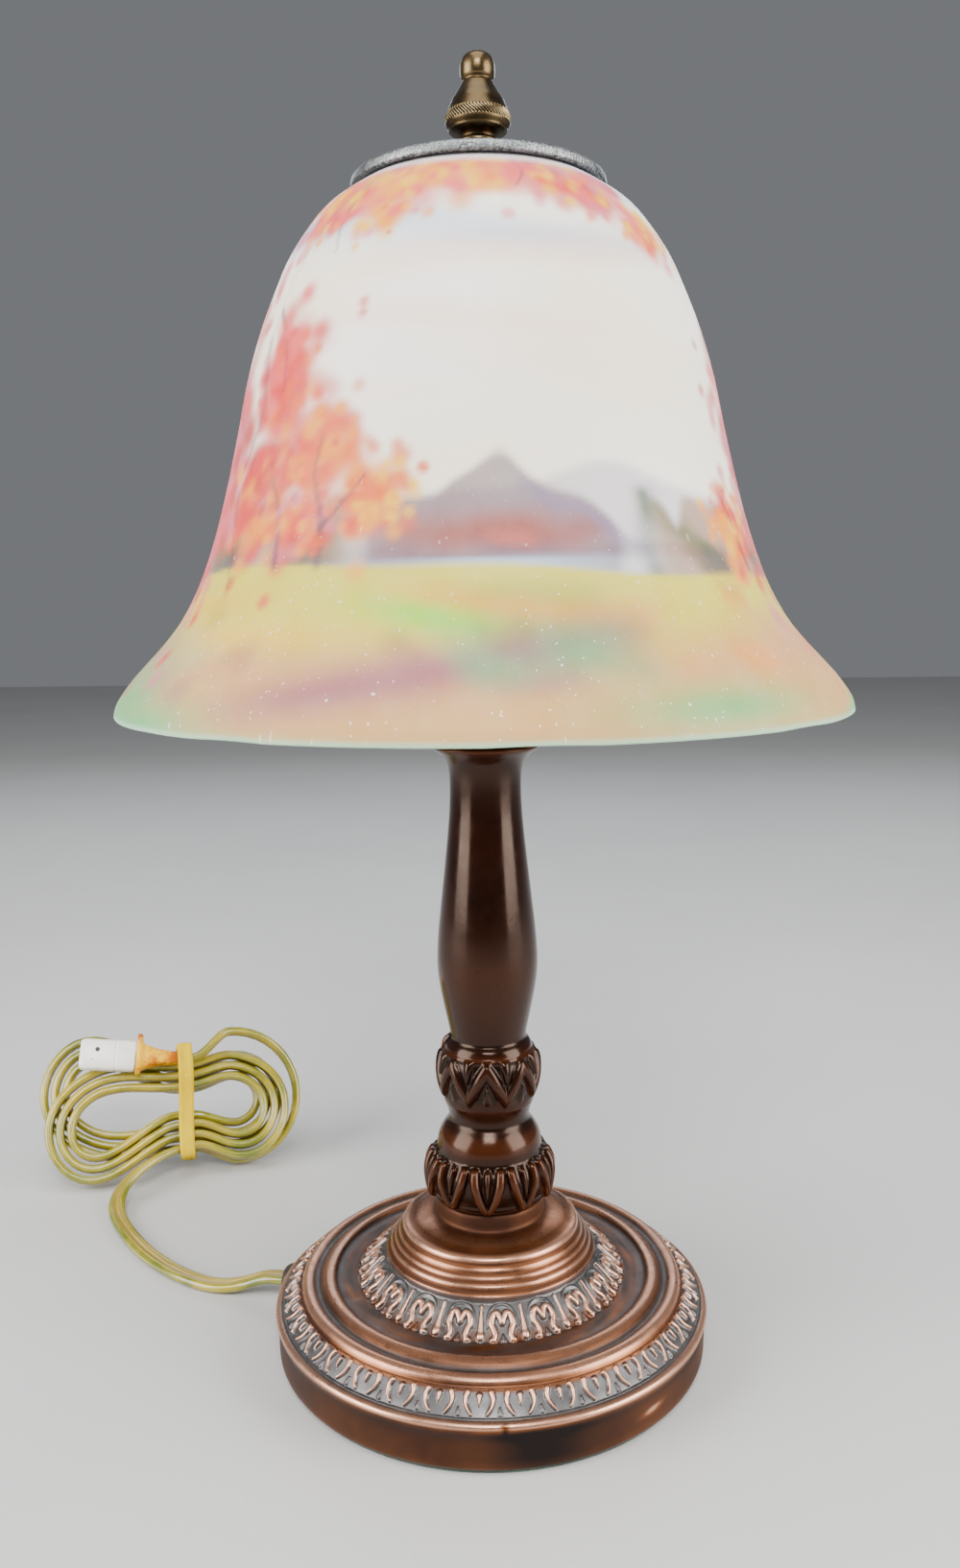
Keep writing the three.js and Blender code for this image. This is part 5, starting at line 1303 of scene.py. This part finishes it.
cap = {"sides": 480, "rows": 120, "ridges": 120, "crossRidges": 73, "hammering": 0.03,
       "sink": 0.05}  # keeps the hammered edge inside the model's box
capOutline = [
    (34.0, 333.2), (34.5, 333.6), (34.56, 334.4), (34.5, 335.4), (34.1, 336.0), (33.4, 336.3), (32.8, 336.4),
    (31.6, 336.8), (29.4, 337.6), (24.6, 339.3), (18.4, 341.3), (12.4, 343.0), (8.6, 343.8), (7.4, 344.0),
    (6.6, 344.5), (5.2, 344.6), (3.4, 344.6),
]
capInside = [(3.4, 343.4), (6.6, 343.2), (18.2, 340.5), (28.6, 337.0), (31.2, 336.0), (31.6, 335.2),
             (31.9, 333.45)]


def makeCap():
    # a shallow dome with two faint rings on top; its edge band is hammered by crossed waves
    profile = spaced(softened(capOutline, 3), cap["rows"])
    angle = circle(cap["sides"])
    height = profile[:, 1:]
    onEdge = window(height, 333.4, 333.9, 336.0, 336.7)
    hammered = np.sin(angle * cap["ridges"] + 4 * height) * np.sin(angle * cap["crossRidges"] - 5 * height)
    depth = cap["hammering"] * hammered * onEdge - cap["sink"]
    # lighter on the edge band and on the crests of its hammering, darker in the hollows of the outline:
    # rubbed metal and grime, with painted highlight and painted shade
    wearAndShading = 0.42 + 0.12 * hammered * onEdge + 0.22 * onEdge - 0.6 * hollowness(profile, 4)[:, None]
    piece = carved("shadeCap", profile, depth, wearAndShading, capInside, cap["sides"])
    return place(piece, "pewter", "shade", "shade_cap")


finial = {"sides": 480, "rows": 190, "bottom": 344.9, "knurls": 60, "knurlDepth": 0.3, "slope": 6.7,
          "hole": 3.3, "bore": 12.0}
finialOutline = [  # heights are above the finial's own foot
    (3.3, 0), (6.4, 0), (6.55, 0.4), (6.5, 1.2), (5.6, 1.7), (4.6, 2.1), (4.7, 2.7), (5.2, 3.2), (7.2, 3.7),
    (7.9, 4.1), (8.0, 4.6), (8.35, 5.1), (8.75, 5.7), (8.95, 6.6), (8.95, 7.3), (8.85, 8.0), (8.4, 8.8),
    (7.95, 9.7), (7.55, 10.6), (7.15, 11.6), (6.5, 12.7), (5.85, 13.6), (5.2, 14.6), (4.6, 15.6),
    (4.3, 16.2), (3.95, 16.6), (3.95, 17.0), (4.45, 17.5), (4.7, 18.4), (4.75, 19.6), (4.6, 21.0),
    (4.1, 22.4), (3.3, 23.3), (2.1, 23.9), (0.8, 24.2), (0, 24.2),
]


def makeFinial():
    # a turned knob: foot flange, neck, knurled ring, cone with two steps and a button on top
    up = finial["bottom"]
    profile = spaced(softened(np.array(finialOutline) + (0, up), 3), finial["rows"])
    height = profile[:, 1:] - up
    knurled = window(height, 6.0, 6.3, 8.5, 8.9)
    lines = np.sin(circle(finial["sides"]) * finial["knurls"] + finial["slope"] * height)
    depth = finial["knurlDepth"] * (np.clip(1.8 * lines, -1, 1) - 1.2) * knurled
    depth[-1] *= profile[-1, 0] >= 0.01
    # lighter on the knurls' crests, darker in their grooves and in the hollows of the outline: rubbed metal
    # and grime, with painted highlight and painted shade
    wearAndShading = 0.52 - 0.5 * hollowness(profile, 4)[:, None] + 0.5 * np.clip(1.6 * lines, -1, 1) * knurled
    closing = [(0, up + finial["bore"]), (finial["hole"], up + finial["bore"])]
    piece = carved("finialKnob", profile, depth, wearAndShading, closing, finial["sides"])
    return place(piece, "agedBrass", "finial", "finial")


def squareRing(inner, outer, low, high, corner=0.25):
    # a square-sided ring whose corners are cut small
    c = min(corner, (high - low) / 3, (outer - inner) / 3)
    return [(inner + c, low), (outer - c, low), (outer, low + c), (outer, high - c), (outer - c, high),
            (inner + c, high), (inner, high - c), (inner, low + c)]


turnedPieces = {
    "feltPad": (squareRing(0.01, 62.9, 0.0, 1.6), "felt", "root", "felt_pad"),
    "columnCup": ([(5.2, 183.7), (13.0, 183.7), (13.6, 184.0), (15.2, 184.6), (16.6, 185.2), (17.6, 186.0),
                   (18, 187.0), (18, 187.8), (17.8, 188.0), (5.2, 188.0)], "brass", "root", "column_cup"),
    "harpStud": ([(0, 330.8), (6.6, 330.8), (7, 331.1), (7, 331.8), (6.8, 332.0), (3.1, 332.0), (2.9, 332.3),
                  (2.9, 354.4), (2.5, 354.8), (0, 354.8)], "brass", "root", "harp_stud"),
    "socketCap": ([(6.6, 190.1), (6.6, 194.6), (7.0, 195.1), (16.2, 197.7), (16.8, 198.3), (16.8, 203.1),
                   (16.0, 203.1), (16.0, 198.9), (5.8, 195.9), (5.2, 195.9), (5.2, 190.1)],
                  "brass", "root", "socket_cap"),
    "socketShell": ([(16.0, 203.4), (16.8, 203.4), (16.8, 206.0), (16.55, 206.6), (16.8, 207.2),
                     (16.8, 237.6), (16.55, 238.2), (16.8, 238.8), (16.8, 240.6), (16.5, 240.9),
                     (16.0, 240.9), (16.0, 203.8)], "brass", "root", "socket_shell"),
    "shadeSeat": (squareRing(3.3, 26.0, 332.3, 333.2), "brass", "shade", "shade_seat"),
    "capGasket": (squareRing(23.0, 27.6, 336.6, 337.3, 0.2), "clearRubber", "shade", "cap_gasket"),
    "bulbGlobe": ([(0, 242.4), (12.7, 242.4), (13.0, 245.0), (13.4, 248.7), (17.3, 258.2), (22.1, 269.5),
                   (24.0, 280.2), (23.3, 289.0), (19.9, 297.2), (13.4, 302.9), (6, 304.9), (0, 305.4)],
                  "bulbGlass", "bulb", "bulb_globe"),
    "bulbTip": ([(0, 216.6), (4.2, 216.6), (4.6, 216.9), (4.6, 217.6), (4.4, 217.8), (0, 217.8)],
                "steel", "bulb", "bulb_contact"),
}


def makeTurnedPieces():
    # outlines that keep off the axis meet themselves, the others end on it
    for name, (outline, *told) in turnedPieces.items():
        closed = outline[0][0] > 0
        grid = turnedGrid(softened(outline, 2, closed=closed), 96)
        place(toMesh(name, grid, closedRows=closed), *told)


screw = {"radius": 13.2, "low": 223.5, "high": 240.4, "pitch": 3.6, "depth": 0.9}


def makeBulbCap():
    # a rolled screw: one cosine wave for each turn
    low, high, pitch = screw["low"], screw["high"], screw["pitch"]
    z = np.linspace(low, high, round((high - low) / pitch * 10))
    wave = screw["radius"] - screw["depth"] * (0.5 + 0.5 * np.cos((z - low) / pitch * full))
    outline = np.concatenate([[(0, 218.1), (4.6, 218.1), (5.2, 218.3), (11.6, 222.2)],
                              np.stack([wave, z], axis=1), [(12.9, 242.1), (0, 242.1)]])
    place(toMesh("bulbCap", turnedGrid(outline, 96)), "steel", "bulb", "bulb_cap")


makeCap()
makeFinial()
makeTurnedPieces()
makeBulbCap()


# Harp, saddle, key and bushing

harp = {"foot": 23.0, "half": 38.0, "centre": 290.5, "wire": 1.98, "sides": 20, "steps": 181,
        "curveSteps": 600}
ferruleOutline = [(2.5, 190.2), (3.7, 190.2), (4.0, 190.6), (4.0, 192.4), (3.7, 192.9), (3.7, 201.4),
                  (4.0, 201.9), (4.0, 203.6), (3.7, 204.0), (2.5, 204.0)]


def makeHarp():
    # a wire from foot to foot over two shoulders and a half round top, and a ferrule on each foot
    foot, half = harp["foot"], harp["half"]
    leg = [(foot, 200.1), (foot, 206.4), (foot, 212.1), (foot, 215.1), (30.5, 224.1), (half, 233.1),
           (half, 261.8)]
    turn = np.linspace(0, np.pi, 13)
    arc = np.stack([half * np.cos(turn), harp["centre"] + half * np.sin(turn)], axis=1)
    line = curveThrough([*leg, *arc, *[(-x, z) for x, z in leg[::-1]]], harp["curveSteps"])
    line = spaced(line, harp["steps"])
    line = np.stack([line[:, 0], 0 * line[:, 0], line[:, 1]], axis=1)
    rings = tubeRings(line, np.tile([0.0, 1.0, 0.0], (len(line), 1)), ring(harp["wire"], harp["sides"]))
    place(toMesh("harpWire", rings, capEnds=True), "brass", "root", "harp_bow")
    for side, name in ((-1, "Left"), (1, "Right")):
        grid = turnedGrid(softened(ferruleOutline, 2, closed=True), 48) + (side * foot, 0, 0)
        piece = toMesh("harpFerrule" + name, grid, closedRows=True)
        place(piece, "brass", name.lower() + "_ferrule", "harp_ferrule_" + name.lower())


saddle = {"reach": 22.0, "half": 7.0, "hole": 5.2, "low": 188.3, "high": 189.8, "soft": 0.3, "sides": 128}
postOutline = [(0, 189.0), (1.9, 189.0), (1.9, 199.2), (1.5, 199.7), (0, 199.8)]


def makeSaddle():
    # a flat bar with round ends and a round hole, and a post under each foot of the harp
    low, high, soft = saddle["low"], saddle["high"], saddle["soft"]
    inner, outer = ring(saddle["hole"], saddle["sides"]), ring(saddle["half"], saddle["sides"])
    outer[:, 0] += saddle["reach"] * np.clip(np.cos(circle(saddle["sides"])) * 4, -1, 1)
    rows = [(inner, low), (outer * 0.985, low), (outer, low + soft), (outer, high - soft),
            (outer * 0.985, high), (inner, high)]
    grid = np.stack([np.concatenate([xy, np.full((len(xy), 1), z)], axis=1) for xy, z in rows])
    pieces = [toMesh("harpSaddle", grid, closedRows=True)]
    for side in (-1, 1):
        post = turnedGrid(np.array(postOutline), 32) + (side * harp["foot"], 0, 0)
        pieces.append(toMesh("post", post))
    place(joined("harpSaddle", pieces), "brass", "root", "harp_saddle")


key = {"knobAt": 24.0, "radius": 6.5, "height": 212.1, "flatness": 0.4, "flutes": 18, "fluteDepth": 0.05,
       "stemRadius": 1.8, "stemFrom": 5.9, "stemTo": 24.6, "sides": 72}
knobShares = [(0.0, 0.0), (0.0, 0.42), (0.5, 0.55), (2.2, 0.97), (3.2, 1.0), (7.0, 1.0), (8.2, 0.93),
              (8.9, 0.75), (9.0, 0)]  # millimetres along the knob, and shares of its radius


def makeKey():
    # a round stem and a flat rounded knob with grip flutes, pointing back from the socket
    sides, radius, height = key["sides"], key["radius"], key["height"]
    angle = circle(sides)
    rows = []
    for along, size in softened(knobShares, 2):
        flute = 1 - key["fluteDepth"] * (0.5 + 0.5 * np.cos(angle * key["flutes"])) * (size > 0.8)
        rows.append(np.stack([radius * key["flatness"] * size * np.cos(angle) * flute,
                              np.full(sides, key["knobAt"] + along),
                              height + radius * size * np.sin(angle) * flute], axis=1))
    knob = toMesh("key", np.array(rows))
    thick, start, end = key["stemRadius"], key["stemFrom"], key["stemTo"]
    rows = [np.stack([r * np.cos(angle), np.full(sides, y), height + r * np.sin(angle)], axis=1)
            for r, y in ((0, start), (thick, start), (thick, end), (0, end))]
    stem = toMesh("stem", np.array(rows))
    place(joined("socketKey", [knob, stem]), "phenolic", "socket_key", "socket_key")


bushingOutline = [(3.25, -6), (4.6, -6), (4.6, 0.3), (5.1, 0.3), (5.4, 0.6), (5.4, 1.6), (5.2, 1.9),
                  (4.3, 4.0), (3.25, 4.0)]  # radius, and distance out from the base's wall
bushingRadius = 65.4  # of the wall


def makeBushing():
    # the grommet where the cord leaves the base: a flange and a tapered nose, on the cord's own line
    grid = turnedGrid(softened(bushingOutline, 2, closed=True), 64)
    x, y, z = grid[..., 2] + bushingRadius, grid[..., 1], -grid[..., 0] + cord["exitHeight"]
    turn = np.radians(cord["exitTurn"])
    cosine, sine = np.cos(turn), np.sin(turn)
    turned = np.stack([x * cosine - y * sine, x * sine + y * cosine, z], axis=-1)
    piece = toMesh("cordBushing", turned, closedRows=True)
    place(piece, "phenolic", "root", "cord_bushing")


makeHarp()
makeSaddle()
makeKey()
makeBushing()
print("cap, finial, harp and socket made")


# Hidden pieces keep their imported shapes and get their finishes

kept = {"base_weight": "iron", "lock_washer": "steel", "pipe_nut": "steel", "lamp_pipe": "steel",
        "socket_liner": "card", "socket_block": "phenolic", "screw_shell": "brass", "centre_contact": "brass",
        "inner_lead": "goldPlastic"}
for node, material in kept.items():
    for found in [o for o in bpy.data.objects if o.name.split(".")[0] == node]:
        found.data.materials.clear()
        found.data.materials.append(materials[material])
